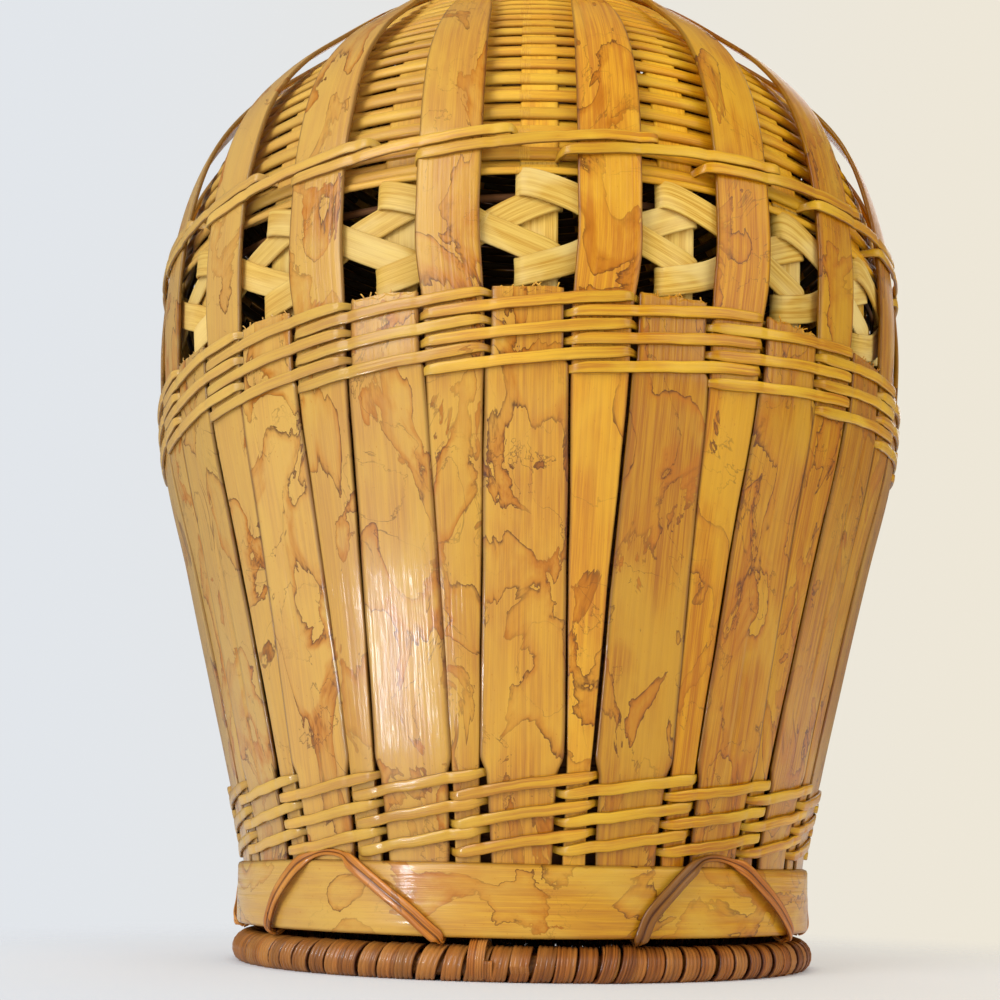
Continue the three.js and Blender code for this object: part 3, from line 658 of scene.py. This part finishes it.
def weave(name, first_stave, rows, lift, behind, edge, height, seed, rough, spiral, aside=0.0):
    """One weaver: over a rib, a stave and a rib, climbing on the way, then down behind the next stave.

    Lift is half of that climb. Behind, edge and aside are the depth, the half width and the shift of the
    hidden part. The spiral is the part of the climb to the next row that is gained all the way round.
    """
    groups = RIBS // 2
    s = (np.arange(WEAVER_STEPS) + 0.5) / WEAVER_STEPS
    climb = 0.92 * (2 * s - 1) + 0.08 * (2 * step(s, 0.04, 0.96) - 1)
    angles, heights, offsets, shares = [], [], [], []
    for index, row in enumerate(rows):
        r = float(radius(row))
        hidden = (edge + WEAVER_TUCK) / r
        gap = TURN * r - rib_width_at(row) / 2 - DIP_LENGTH
        for g in range(groups):
            start = (first_stave + 4 * g) * TURN + aside / r + hidden
            end = (first_stave + 4 * (g + 1)) * TURN + aside / r - hidden
            a = start + (end - start) * s
            angles.append(a)
            heights.append(row + lift * climb + spiral * ((g + s) / groups - 0.5))
            ramp = WEAVER_RAMP / (r * (end - start))
            reach = step(s, -ramp, ramp) * (1 - step(s, 1 - ramp, 1 + ramp))
            from_stave = np.abs((a / TURN - 1) % 2 - 1) * TURN * r
            dip = np.exp(-(((from_stave - gap) / DIP_LENGTH) ** 2))
            offsets.append(behind + (WEAVER_FRONT - behind) * reach - DIP_DEPTH * dip * reach)
            shares.append(step(s, -ramp, 2.2 * ramp) * (1 - step(s, 1 - 2.2 * ramp, 1 + ramp)))
            last = g == groups - 1
            if last and index == len(rows) - 1:
                continue
            next_row = rows[index + 1] if last else row
            hide = np.linspace(end, end + 2 * hidden, HIDDEN_STEPS)[1:-1]
            down = step(hide, end - 0.1 * hidden, end + 2.1 * hidden)
            gained = (g + 1) / groups
            leave = row + lift + spiral * (gained - 0.5)
            arrive = next_row - lift + spiral * (gained % 1 - 0.5)
            angles.append(hide)
            heights.append(leave + (arrive - leave) * down)
            offsets.append(np.full(len(hide), behind))
            shares.append(np.zeros(len(hide)))
    angle, z, offset, shown = (np.concatenate(v) for v in (angles, heights, offsets, shares))
    along = angle * WAVE_RADIUS
    z = z + rough * waves(along, seed, 41) * 0.7 + rough * waves(along, seed + 1, 13) * 0.3
    offset = offset + 0.06 * waves(along, seed + 2, 19)
    width = height * (1 + 0.07 * waves(along, seed + 3, 31)) * (0.62 + 0.38 * shown)
    # Painted shade: where the weaver is tucked behind a stave, its tone is darker
    tone = 0.5 + 0.22 * waves(along, seed + 4, 90) - 0.35 * (1 - shown)
    piece = Piece()
    path = ring_point(angle, z, offset)
    piece.strand(path, upward(angle, z), width, WEAVER_THICKNESS, FLAT, seed, tone)
    piece.finish(name + "_strand", "weaver", name)


def build_bands():
    for letter, first, seed in (("a", RIBS, 200), ("b", RIBS + 2, 300)):
        weave(
            f"lower_band_weaver_{letter}", first, LOW_ROWS, lift=1.9, behind=-1.3, edge=6.4,
            height=2.25, seed=seed + 1, rough=0.34, spiral=3.4,
        )
        weave(
            f"middle_band_weaver_{letter}", first, MIDDLE_ROWS, lift=2.05, behind=-1.3, edge=7.0,
            height=2.35, seed=seed + 2, rough=0.2, spiral=1.5,
        )
        weave(
            f"upper_band_weaver_{letter}", first, UPPER_ROWS, lift=2.4, behind=-4.7, edge=3.0,
            height=2.5, seed=seed + 3, rough=0.3, spiral=0.0, aside=1.6,
        )


# Places (side, rise, depth) of an openwork strip in a window, from its left edge on, going high or low
WINDOW_LEFT, WINDOW_RIGHT = -9.3, 14.65
HIGH_STATIONS = (
    (WINDOW_LEFT, 0.0, -2.3), (-2.0, 3.6, -2.3), (5.2, 6.6, -2.3), (6.35, 7.1, -3.25),
    (5.2, 7.5, -4.35), (-1.4, 9.0, -4.35), (-2.6, 9.3, -2.9), (-1.4, 9.4, -1.5),
    (8.7, 6.2, -1.25), (WINDOW_RIGHT, 3.2, -1.25),
)
LOW_STATIONS = (
    (WINDOW_LEFT, 0.0, -1.5), (-2.0, -3.4, -1.75), (5.2, -6.6, -2.0), (6.35, -7.1, -3.2),
    (5.2, -7.5, -4.35), (-1.4, -9.0, -4.35), (-2.6, -9.6, -2.8), (-1.4, -9.8, -1.25),
    (8.7, -6.6, -1.9), (WINDOW_RIGHT, -3.2, -2.2),
)
OPENWORK_WIDTH, OPENWORK_THICKNESS = 6.1, 0.62
CURVE_STEPS = 7


def build_openwork(letter, first_turn, seed):
    """A strip that folds round every stake, high on one and low on the next."""
    rng = np.random.default_rng(seed)
    r = float(radius(OPENWORK_MIDDLE))
    stations = []
    for i in range(RIBS):
        is_high = (i + first_turn) % 2 == 0
        sway = rng.uniform(-0.35, 0.35)
        for side, rise, depth in HIGH_STATIONS if is_high else LOW_STATIONS:
            if side not in (WINDOW_LEFT, WINDOW_RIGHT):
                rise += sway
            stations.append((2 * i * TURN * r + side, OPENWORK_MIDDLE + rise, depth))
    stations.append((stations[0][0] + math.tau * r, *stations[0][1:]))
    flat = smooth_path(stations, CURVE_STEPS)[:-1]
    angle, z, offset = flat[:, 0] / r, flat[:, 1], flat[:, 2]
    path = ring_point(angle, z, offset)
    piece = Piece()
    tone = 0.55 + 0.2 * waves(flat[:, 0], seed, 70)
    width = OPENWORK_WIDTH + 0.25 * waves(flat[:, 0], seed + 1, 55)
    piece.strand(path, upward(angle, z), width, OPENWORK_THICKNESS, THIN, seed, tone, ring=True)
    name = f"openwork_strip_{letter}"
    piece.finish(name + "_folded", "openwork_strip", name)


# Shoulder wicker: where its wefts start, and how far apart they lie there and at the mouth
WEFT_BOTTOM, WEFT_SPACING, MOUTH_WEFT_SPACING = 157.4, 2.6, 2.1
STRAY_WEFT_HEIGHT, STAKE_BOTTOM, STAKE_TAPER_START, STAKE_NARROWING = 155.2, 150, 190, 4.2
# The angles of a weft's waves are counted in degrees
DEGREES = 57.3


def share_of_neck(height):
    """0 at the wicker's bottom, 1 from the neck on."""
    return np.clip((np.asarray(height, float) - WICKER_BOTTOM) / (NECK_HEIGHT - WICKER_BOTTOM), 0, 1)


def wicker_middle(height):
    """Depth of the shoulder wicker's middle behind the ribs' middle."""
    share = share_of_neck(height)
    return -(1.75 + 1.75 * (1 - share) + 1.2 * np.sin(math.pi * share))


def stake_depth(height):
    """Depth of a stake, which goes from the inner wall into the shoulder wicker."""
    share = step(height, 160, 172)
    return STAKE_DEPTH * (1 - share) + wicker_middle(height) * share


def heights_along(low, high, spacing_low, spacing_high):
    """Heights whose spacing along the outline goes from one value to the other."""
    z = np.linspace(low, high, 800)
    arc = arc_lengths(np.stack([z, radius(z)], -1))
    places, at = [], 0.0
    while at <= arc[-1]:
        places.append(float(np.interp(at, arc, z)))
        at += spacing_low + (spacing_high - spacing_low) * at / arc[-1]
    return places


def over_stakes(angle, steepness):
    """1 before one stake, -1 behind the next."""
    return np.sin(math.pi / 2 * np.clip(steepness * np.cos(RIBS / 2 * angle), -1, 1))


def weft(
    piece, z, middle, seed, tone, width, thickness, swing=0.0, profile=ROUND, segments=200, wander=0.15
):
    """A ring that swings before one stake and behind the next."""
    angle = all_round(segments)
    height = z + wander * waves(angle * DEGREES, seed, 120)
    path = ring_point(angle, height, middle + swing * over_stakes(angle - STAKE_OFFSET / BELLY_RADIUS, 1.7))
    tones = tone + 0.1 * waves(angle * DEGREES, seed + 1, 72)
    # Its back is painted in shade
    piece.strand(path, upward(angle, height), width, thickness, profile, seed, tones, ring=True, inside=1.0)


def upright_stake(piece, index, heights, widths, seed, tone):
    """A stake, bent to the outline on its own flat."""
    u = np.array([-1, -0.96, -0.8, -0.3, 0.3, 0.8, 0.96, 1, 0.9, 0, -0.9])
    lift = np.array([0, 0.75, 1, 1, 1, 1, 0.75, 0, -1, -1, -1]) * 0.4
    middle = STAKE_OFFSET * radius(heights) / BELLY_RADIUS
    across = u * np.broadcast_to(widths, len(heights))[:, None] / 2
    z = heights[:, None]
    points = flat_point(2 * index, middle[:, None] + across, z, stake_depth(z) + lift)
    piece.skin(points, vectors(across, z, seed), vectors(np.abs(u), tone, 0))


def build_shoulder():
    rng = np.random.default_rng(57)
    piece = Piece()
    rows = heights_along(WEFT_BOTTOM, MOUTH_HEIGHT - 0.5, WEFT_SPACING, MOUTH_WEFT_SPACING)
    for i, z in enumerate(rows):
        share = float(share_of_neck(z))
        swing = 0.7 - 0.45 * share
        weft(
            piece, z, float(stake_depth(z)), 600 + i, rng.uniform(0.35, 0.65),
            width=3.15 - 0.6 * share, thickness=1.6 - 0.35 * share, swing=swing if i % 2 else -swing,
            segments=240 if share < 0.5 else 180, wander=0.18 * (1 - share) + 0.04,
        )
    # A stray weft below the wicker, and two that close it under the ring on the mouth
    weft(piece, STRAY_WEFT_HEIGHT, -1.75, 955, 0.5, width=1.7, thickness=1.1, wander=0.3)
    for z in (MOUTH_HEIGHT - 0.9, MOUTH_HEIGHT):
        depth = float(wicker_middle(z))
        weft(piece, z, depth, 990 + int(z), 0.45, width=2.3, thickness=1.3, wander=0.0)
    heights = np.linspace(STAKE_BOTTOM, MOUTH_HEIGHT - 0.2, 60)
    widths = STAKE_WIDTH - STAKE_NARROWING * step(heights, STAKE_TAPER_START, NECK_HEIGHT)
    for i in range(RIBS):
        upright_stake(piece, i, heights, widths, 900 + i, rng.uniform(0.45, 0.75))
    piece.finish("shoulder_wicker_weave", "wicker", "shoulder_wicker")


# Inner basket: the wall's ends, its rows' spacing and depth, and the floor's rings and spokes
INNER_BOTTOM, INNER_TOP, INNER_SPACING, INNER_DEPTH = 10.6, 128.9, 2.35, -3.35
FLOOR_RING_SPACING, FLOOR_RING_SWING = 2.15, 0.42
SPOKE_WIDTHS = ((0, 30), (0.9, 5.0))
WALL_STAKE_BOTTOM, WALL_STAKE_WIDTH = 9.2, 5.5
# Two loose wefts that show through the openwork, as (height, tone), and how deep they lie
LOOSE_WEFTS, LOOSE_WEFT_DEPTH = ((151.3, 0.35), (158.8, 0.4)), -5.3


def build_inner_basket():
    rng = np.random.default_rng(71)
    wall = Piece()
    for i, z in enumerate(heights_along(INNER_BOTTOM, INNER_TOP, INNER_SPACING, INNER_SPACING)):
        weft(
            wall, z, INNER_DEPTH, 1200 + i, rng.uniform(0.35, 0.6), width=2.75, thickness=0.8,
            swing=0.4 if i % 2 else -0.4, profile=SPLIT, segments=120,
        )
    for z, tone in LOOSE_WEFTS:
        weft(
            wall, z, LOOSE_WEFT_DEPTH, 1300 + int(z), tone, width=1.9, thickness=1.1, segments=160,
            wander=0.35,
        )
    for i in range(RIBS):
        heights = np.linspace(WALL_STAKE_BOTTOM, 128, 12)
        upright_stake(wall, i, heights, WALL_STAKE_WIDTH, 1400 + i, tone=0.45)
    floor_radius = float(radius(WALL_STAKE_BOTTOM)) - 3.6
    for i, r in enumerate(np.arange(5.0, floor_radius, FLOOR_RING_SPACING)):
        segments = int(40 + r * 1.6)
        angle = all_round(segments)
        swing = FLOOR_RING_SWING if i % 2 else -FLOOR_RING_SWING
        path = polar(r, angle, FLOOR_HEIGHT + swing * over_stakes(angle, 1.5))
        tone = rng.uniform(0.35, 0.6)
        wall.strand(path, polar(1, angle, 0), 1.95, 0.7, circle(6), 1500 + i, tone, ring=True)
    for i in range(RIBS):
        r = np.linspace(1.5, floor_radius + 0.4, 14)
        angle = i * math.tau / RIBS + STAKE_OFFSET / BELLY_RADIUS
        path = polar(r, angle, FLOOR_HEIGHT)
        wall.strand(path, sideways(angle), np.interp(r, *SPOKE_WIDTHS), 0.55, THIN, 1600 + i, 0.5)
    wall.finish("inner_basket_weave", "inner", "inner_basket")

    pale = Piece()
    heights = np.linspace(126, 158, 14)
    for i in range(RIBS):
        upright_stake(pale, i, heights, STAKE_WIDTH, 1700 + i, rng.uniform(0.45, 0.75))
    pale.finish("inner_basket_stakes", "openwork_strip")


# Hoop: the flat where it starts, its length in flats, its depth and how far its end is lifted on the lap
HOOP_START, HOOP_FLATS, HOOP_DEPTH, HOOP_LIFT = 23, 42, 1.38, 1.45
HOOP_RADIUS, HOOP_SEED = 66, 77


def build_hoop():
    piece = Piece()
    facets = np.linspace(0, HOOP_FLATS, HOOP_FLATS * 7 + 1)
    around = HOOP_START + facets + 0.5
    lift = HOOP_LIFT * step(facets, FLATS - 0.3, FLATS + 0.5)
    low = HOOP_BOTTOM + 0.15 * waves(facets, 31, 17)
    high = HOOP_TOP + 0.35 * waves(facets, 32, 13) - 0.1
    bow = 0.12 * waves(facets, 33, 9)
    share = np.array([0, 0.015, 0.06, 0.15, 0.3, 0.45, 0.6, 0.75, 0.87, 0.94, 0.985, 1, 0.97, 0.5, 0.03])
    rise = np.array(
        [-0.45, 0.3, 0.58, 0.64, 0.69, 0.7, 0.7, 0.68, 0.62, 0.58, 0.3, -0.45, -0.6, -0.6, -0.6]
    )
    z = low[:, None] + share * (high - low)[:, None]
    offset = HOOP_DEPTH + lift[:, None] + rise + bow[:, None]
    points = ring_point(around[:, None] * TURN, z, offset)
    tone = 0.55 + 0.12 * waves(facets, 34, 11)[:, None]
    from_middle = ((around + RIBS) % FLATS - RIBS)[:, None]
    stain = np.full(z.shape, 0.5)
    for place, up, wide, tall, strength in HOOP_STAINS:
        leaning = from_middle - place - 0.05 * (z - up)
        stain = stain + strength * np.exp(-((leaning / wide) ** 2) - ((z - up) / tall) ** 2)
    fibres = vectors(z, (facets * TURN * HOOP_RADIUS)[:, None], HOOP_SEED)
    piece.skin(points, fibres, vectors(np.abs(2 * share - 1), tone, stain))
    piece.finish("base_hoop_strip", "hoop", "base_hoop")


# Ties: each is eight flats on from the last, and the first two show on the front
TIES, FIRST_TIE_FLAT, FLATS_PER_TIE = 5, -4, 8
TIE_WIDTH, TIE_SHOWN_WIDTH, TIE_THICKNESS = 1.4, 3.0, 0.85


def tie_stations(first, bulge):
    """Places (flat, distance out, height) of a tie: from inside, under the hoop, up its front and back."""
    return (
        (first, -1.3, 13.0), (first, -1.3, 8.6), (first, 0.4, 7.15), (first, 2.7, 8.0),
        (first + 0.16, 3.2, 12.0), (first * 0.66, bulge, 17.0), (first * 0.42, 2.9, 20.9),
        (-0.34, 1.4, 22.9), (0.0, 1.15, 23.4), (0.34, 1.3, 22.9), (0.66, 2.9, 21.4),
        (1.25, bulge, 17.4), (2.0, 3.4, 12.0), (2.47, 2.7, 8.0),
        (2.5, 0.4, 7.15), (2.5, -1.3, 8.6), (2.5, -1.3, 13.0),
    )


def build_ties():
    rng = np.random.default_rng(91)
    for i in range(TIES):
        facet = FIRST_TIE_FLAT + FLATS_PER_TIE * i
        stations = tie_stations(first=-2.1 if i == 2 else -1.75, bulge=3.5 if i < 2 else 4.3)
        curve = smooth_path([((facet + f) * TURN * FOOT_RADIUS, z, o) for f, o, z in stations], CURVE_STEPS)
        sway = 0.25 * waves(curve[:, 0], 95 + i, 23)
        angle, z, offset = (curve[:, 0] + sway) / FOOT_RADIUS, curve[:, 1], curve[:, 2]
        path = ring_point(angle, np.clip(z, HOOP_BOTTOM, HOOP_TOP), offset)
        path[:, 2] = z
        tangent = np.gradient(path, axis=0)
        tangent /= np.linalg.norm(tangent, axis=1)[:, None]
        # Where the path runs straight in or out, its width is carried over from either side
        across = np.cross(polar(1, angle, 0), tangent)
        along = np.arange(len(across))
        known = np.linalg.norm(across, axis=1) >= 0.35
        for axis in range(3):
            across[:, axis] = np.interp(along, along[known], across[known, axis])
        across /= np.linalg.norm(across, axis=1)[:, None]
        left, right = (-0.45, 0.9) if i == 1 else rng.uniform(0.75, 1.1, 2)
        tone = np.interp(along / len(along), [0, 0.42, 0.58, 1], [left, left, right, right])
        width = TIE_WIDTH + (TIE_SHOWN_WIDTH - TIE_WIDTH) * step(offset, 1.3, 2.9)
        piece = Piece()
        piece.strand(path, across, width, TIE_THICKNESS, GROOVED, 2000 + i, tone)
        name = f"tie_{i + 1:02d}"
        piece.finish(name + "_cane", "cane", name, material="tie")


# Wound cane: the steps in a turn of a winding and of a lashing
WRAP_STEPS, LASHING_STEPS = 18, 36


def rod(piece, centre_radius, height, thickness, segments, seed, tone):
    """A round rod bent into a level ring."""
    angle = all_round(segments)
    path = polar(centre_radius, angle, height)
    piece.strand(path, (0, 0, 1), thickness, thickness, circle(12), seed, tone, ring=True)


def wound_ring(piece, centre_radius, centre_height, wrap_radius, turns, width, thickness, seed, floor=None):
    """Flat cane wound closely round a ring, each turn laid a little over the one before."""
    count = turns * WRAP_STEPS
    s = np.arange(count) / count
    jitter = 0.16 * waves(s * turns, seed, 7.3) + 0.1 * waves(s * turns, seed + 1, 3.1)
    angle = math.tau * (s + jitter / turns)
    phase = math.tau * turns * s
    wrap = wrap_radius + 0.1 * waves(s * turns, seed + 2, 5.0)
    z = centre_height + wrap * np.sin(phase)
    if floor is not None:
        z = np.maximum(z, floor + thickness * 0.42)
    path = polar(centre_radius + wrap * np.cos(phase), angle, z)
    tone = 0.5 + 0.3 * waves(s * turns, seed + 3, 2.7)
    widths = width * (1 + 0.06 * waves(s * turns, seed + 4, 4.1))
    tilted = RIDGES * [1, -1]
    tilted[:, 1] += 0.3 * tilted[:, 0]
    piece.strand(path, sideways(angle), widths, thickness, tilted, seed, tone, ring=True)
    if floor is not None:
        piece.flatten(floor)


def lashing(piece, start, lean, turns, width, centre, reach_out, reach_up, seed, tone):
    """A short run of cane wrapped over the foot winding, leaning as it goes."""
    s = np.linspace(0, 1, int(LASHING_STEPS * turns))
    phase = math.pi + math.tau * turns * s
    angle = (start + lean * s) / FOOT_RING_RADIUS
    z = np.maximum(centre + reach_up * np.sin(phase), 0.35)
    path = polar(FOOT_RING_RADIUS + reach_out * np.cos(phase), angle, z)
    piece.strand(path, sideways(angle), width, 0.75, RIDGES * [1, -1], seed, tone)
    piece.flatten(0.0)


def build_foot_ring():
    core = Piece()
    rod(core, FOOT_RING_RADIUS, FOOT_RING_HEIGHT, thickness=4.5, segments=160, seed=2100, tone=0.0)
    core.finish("foot_ring_core_rod", "cane", "foot_ring_core")
    winding = Piece()
    wound_ring(
        winding, FOOT_RING_RADIUS, FOOT_RING_HEIGHT, wrap_radius=3.2, turns=95, width=3.85, thickness=0.8,
        seed=2110, floor=0.0,
    )
    lashing(
        winding, start=-9.4, lean=3.6, turns=2.5, width=1.9, centre=3.95, reach_out=3.9, reach_up=3.75,
        seed=2120, tone=0.85,
    )
    for start, seed, tone in ((12.5, 2121, 0.6), (16.0, 2122, 0.35)):
        lashing(
            winding, start, lean=7.0, turns=1.0, width=2.6, centre=FOOT_RING_HEIGHT, reach_out=3.75,
            reach_up=3.6, seed=seed, tone=tone,
        )
    winding.finish("foot_ring_winding_cane", "cane", "foot_ring_winding")


def build_mouth_ring():
    low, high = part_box("mouth_ring")
    height = (low.z + high.z) / 2 * PER_METRE
    half = (high.z - low.z) / 2 * PER_METRE
    centre = high.x * PER_METRE - half
    piece = Piece()
    rod(piece, centre, height, thickness=2 * half - 1.6, segments=120, seed=2200, tone=0.3)
    wound_ring(piece, centre, height, wrap_radius=half - 0.45, turns=60, width=3.7, thickness=0.75, seed=2210)
    piece.finish("mouth_ring_winding", "cane", "mouth_ring")


build_ribs()
build_staves()
build_bands()
build_openwork("a", 0, 501)
build_openwork("b", 1, 521)
build_shoulder()
build_inner_basket()
build_hoop()
build_ties()
build_foot_ring()
build_mouth_ring()

# Floor, light and camera, in metres
FLOOR_HALF_WIDTH = 6.0
# Distances from the middle: the painted shadow under the basket, the step at the foot ring and the fade
# further off
SHADE_PAINT_EDGE, FOOT_EDGE, FADE = (0.057, 0.0625), (0.064, 0.07), (0.07, 0.22)
CLEAR_AT_FOOT, CLEAR_BY_FADE = 0.45, 0.55
# Lamps as (place, target, size, power, tint): daylight from the left, a warmer fill from the right, one
# behind and a card beside the foot
LIGHTS = {
    "window": ((-0.55, -0.75, 0.5), (0, 0, 0.12), (0.45, 0.7), 6.0, (0.98, 0.99, 1.0)),
    "fill": ((0.8, -0.6, 0.45), (0, 0, 0.12), (0.7, 0.7), 3.0, (1.0, 0.95, 0.86)),
    "back": ((0.2, 0.9, 0.7), (0, 0, 0.15), (0.8, 0.6), 3.0, (0.97, 0.98, 1.0)),
    "window_card": (
        (-0.098, -0.14, 0.026), (-0.02, -0.066, 0.052), (0.01, 0.045), 0.085, (0.8, 0.9, 1.0),
    ),
}
CAMERA_PLACE = (0, -0.328, 0.0205)
CAMERA_PITCH, CAMERA_YAW, CAMERA_ROLL = (math.radians(v) for v in (15.67, -1.17, -0.99))
CAMERA_SENSOR, CAMERA_LENS = 36.0, 47.41


def mix_shaders(share, a, b):
    return node(a.id_data, "ShaderNodeMixShader", {0: share, 1: a.outputs[0], 2: b.outputs[0]})


def build_floor():
    """A floor for the shadow. Inside the foot ring it is painted near black as shadow; it is clear from below
    and fades out further off.
    """
    mesh = bpy.data.meshes.new("floor")
    s = FLOOR_HALF_WIDTH
    mesh.from_pydata([(-s, -s, 0), (s, -s, 0), (s, s, 0), (-s, s, 0)], [], [(0, 1, 2, 3)])
    material = bpy.data.materials.new("floor_paint")
    material.use_nodes = True
    tree = material.node_tree
    place = node(tree, "ShaderNodeTexCoord").outputs["Object"]
    distance = node(tree, "ShaderNodeVectorMath", {0: place}, operation="LENGTH").outputs["Value"]
    # Painted shadow: inside the foot ring the floor is painted near black
    beyond_painted_shade = between_values(distance, *SHADE_PAINT_EDGE)
    paint = blend(beyond_painted_shade, (0.05, 0.04, 0.03, 1), (0.86, 0.88, 0.91, 1))
    shader = tree.nodes["Principled BSDF"]
    feed(shader, {"Base Color": paint, "Roughness": 0.8, "Specular IOR Level": 0.0})
    at_foot = times(between_values(distance, *FOOT_EDGE), CLEAR_AT_FOOT)
    by_fade = times(between_values(distance, *FADE), CLEAR_BY_FADE)
    from_below = node(tree, "ShaderNodeNewGeometry").outputs["Backfacing"]
    cleared = calc("MAXIMUM", plus(at_foot, by_fade), from_below)
    seen = node(tree, "ShaderNodeLightPath").outputs["Is Camera Ray"]
    mixed = mix_shaders(times(cleared, seen), shader, node(tree, "ShaderNodeBsdfTransparent"))
    feed(tree.nodes["Material Output"], {"Surface": mixed.outputs[0]})
    mesh.materials.append(material)
    floor = bpy.data.objects.new("floor", mesh)
    bpy.context.scene.collection.objects.link(floor)


def build_world():
    """Paper behind the basket, an even cool light on it and a dimmer paper in what it mirrors."""
    world = bpy.data.worlds.new("studio")
    bpy.context.scene.world = world
    world.use_nodes = True
    tree = world.node_tree
    tree.nodes.clear()
    paths = node(tree, "ShaderNodeLightPath")
    seen = calc("MAXIMUM", paths.outputs["Is Camera Ray"], paths.outputs["Is Transmission Ray"])
    way = node(tree, "ShaderNodeSeparateXYZ", {0: node(tree, "ShaderNodeTexCoord").outputs["Generated"]})
    to_right = between_values(way.outputs[0], -0.4, 0.4)
    paper = blend(to_right, color(226, 230, 235), color(238, 231, 215))
    lit = node(tree, "ShaderNodeBackground", {"Color": (0.96, 0.97, 1.0, 1), "Strength": 0.5})
    shown = node(tree, "ShaderNodeBackground", {"Color": paper, "Strength": 1.0})
    mirror = node(tree, "ShaderNodeBackground", {"Color": paper, "Strength": 0.25})
    mixed = mix_shaders(seen, mix_shaders(paths.outputs["Is Glossy Ray"], lit, mirror), shown)
    node(tree, "ShaderNodeOutputWorld", {"Surface": mixed.outputs[0]})


def area_light(name, place, target, size, power, tint):
    """A rectangular lamp at a place that shines at a target."""
    light = bpy.data.lights.new(name, "AREA")
    light.shape = "RECTANGLE"
    light.size, light.size_y = size
    light.energy = power
    light.color = tint
    lamp = bpy.data.objects.new(name, light)
    lamp.location = place
    lamp.rotation_euler = (Vector(target) - Vector(place)).to_track_quat("-Z", "Y").to_euler()
    lamp.visible_camera = False
    bpy.context.scene.collection.objects.link(lamp)
    return lamp


def build_lights():
    for name, settings in LIGHTS.items():
        lamp = area_light(name, *settings)
    # The card, which is the last, shows in reflections only
    lamp.visible_diffuse = False


def build_camera():
    pitch, yaw, roll = CAMERA_PITCH, CAMERA_YAW, CAMERA_ROLL
    forward = Vector((math.cos(pitch) * math.sin(yaw), math.cos(pitch) * math.cos(yaw), math.sin(pitch)))
    right = Vector((math.cos(yaw), -math.sin(yaw), 0))
    up = right.cross(forward)
    rolled_right = math.cos(roll) * right - math.sin(roll) * up
    rolled_up = math.sin(roll) * right + math.cos(roll) * up
    data = bpy.data.cameras.new("camera")
    data.sensor_width = CAMERA_SENSOR
    data.lens = CAMERA_LENS
    data.clip_start = 0.01
    camera = bpy.data.objects.new("camera", data)
    axes = Matrix((rolled_right, rolled_up, -forward)).transposed().to_4x4()
    camera.matrix_world = Matrix.Translation(CAMERA_PLACE) @ axes
    bpy.context.scene.collection.objects.link(camera)
    bpy.context.scene.camera = camera


build_floor()
build_world()
build_lights()
build_camera()
bpy.context.scene.view_settings.view_transform = "Standard"
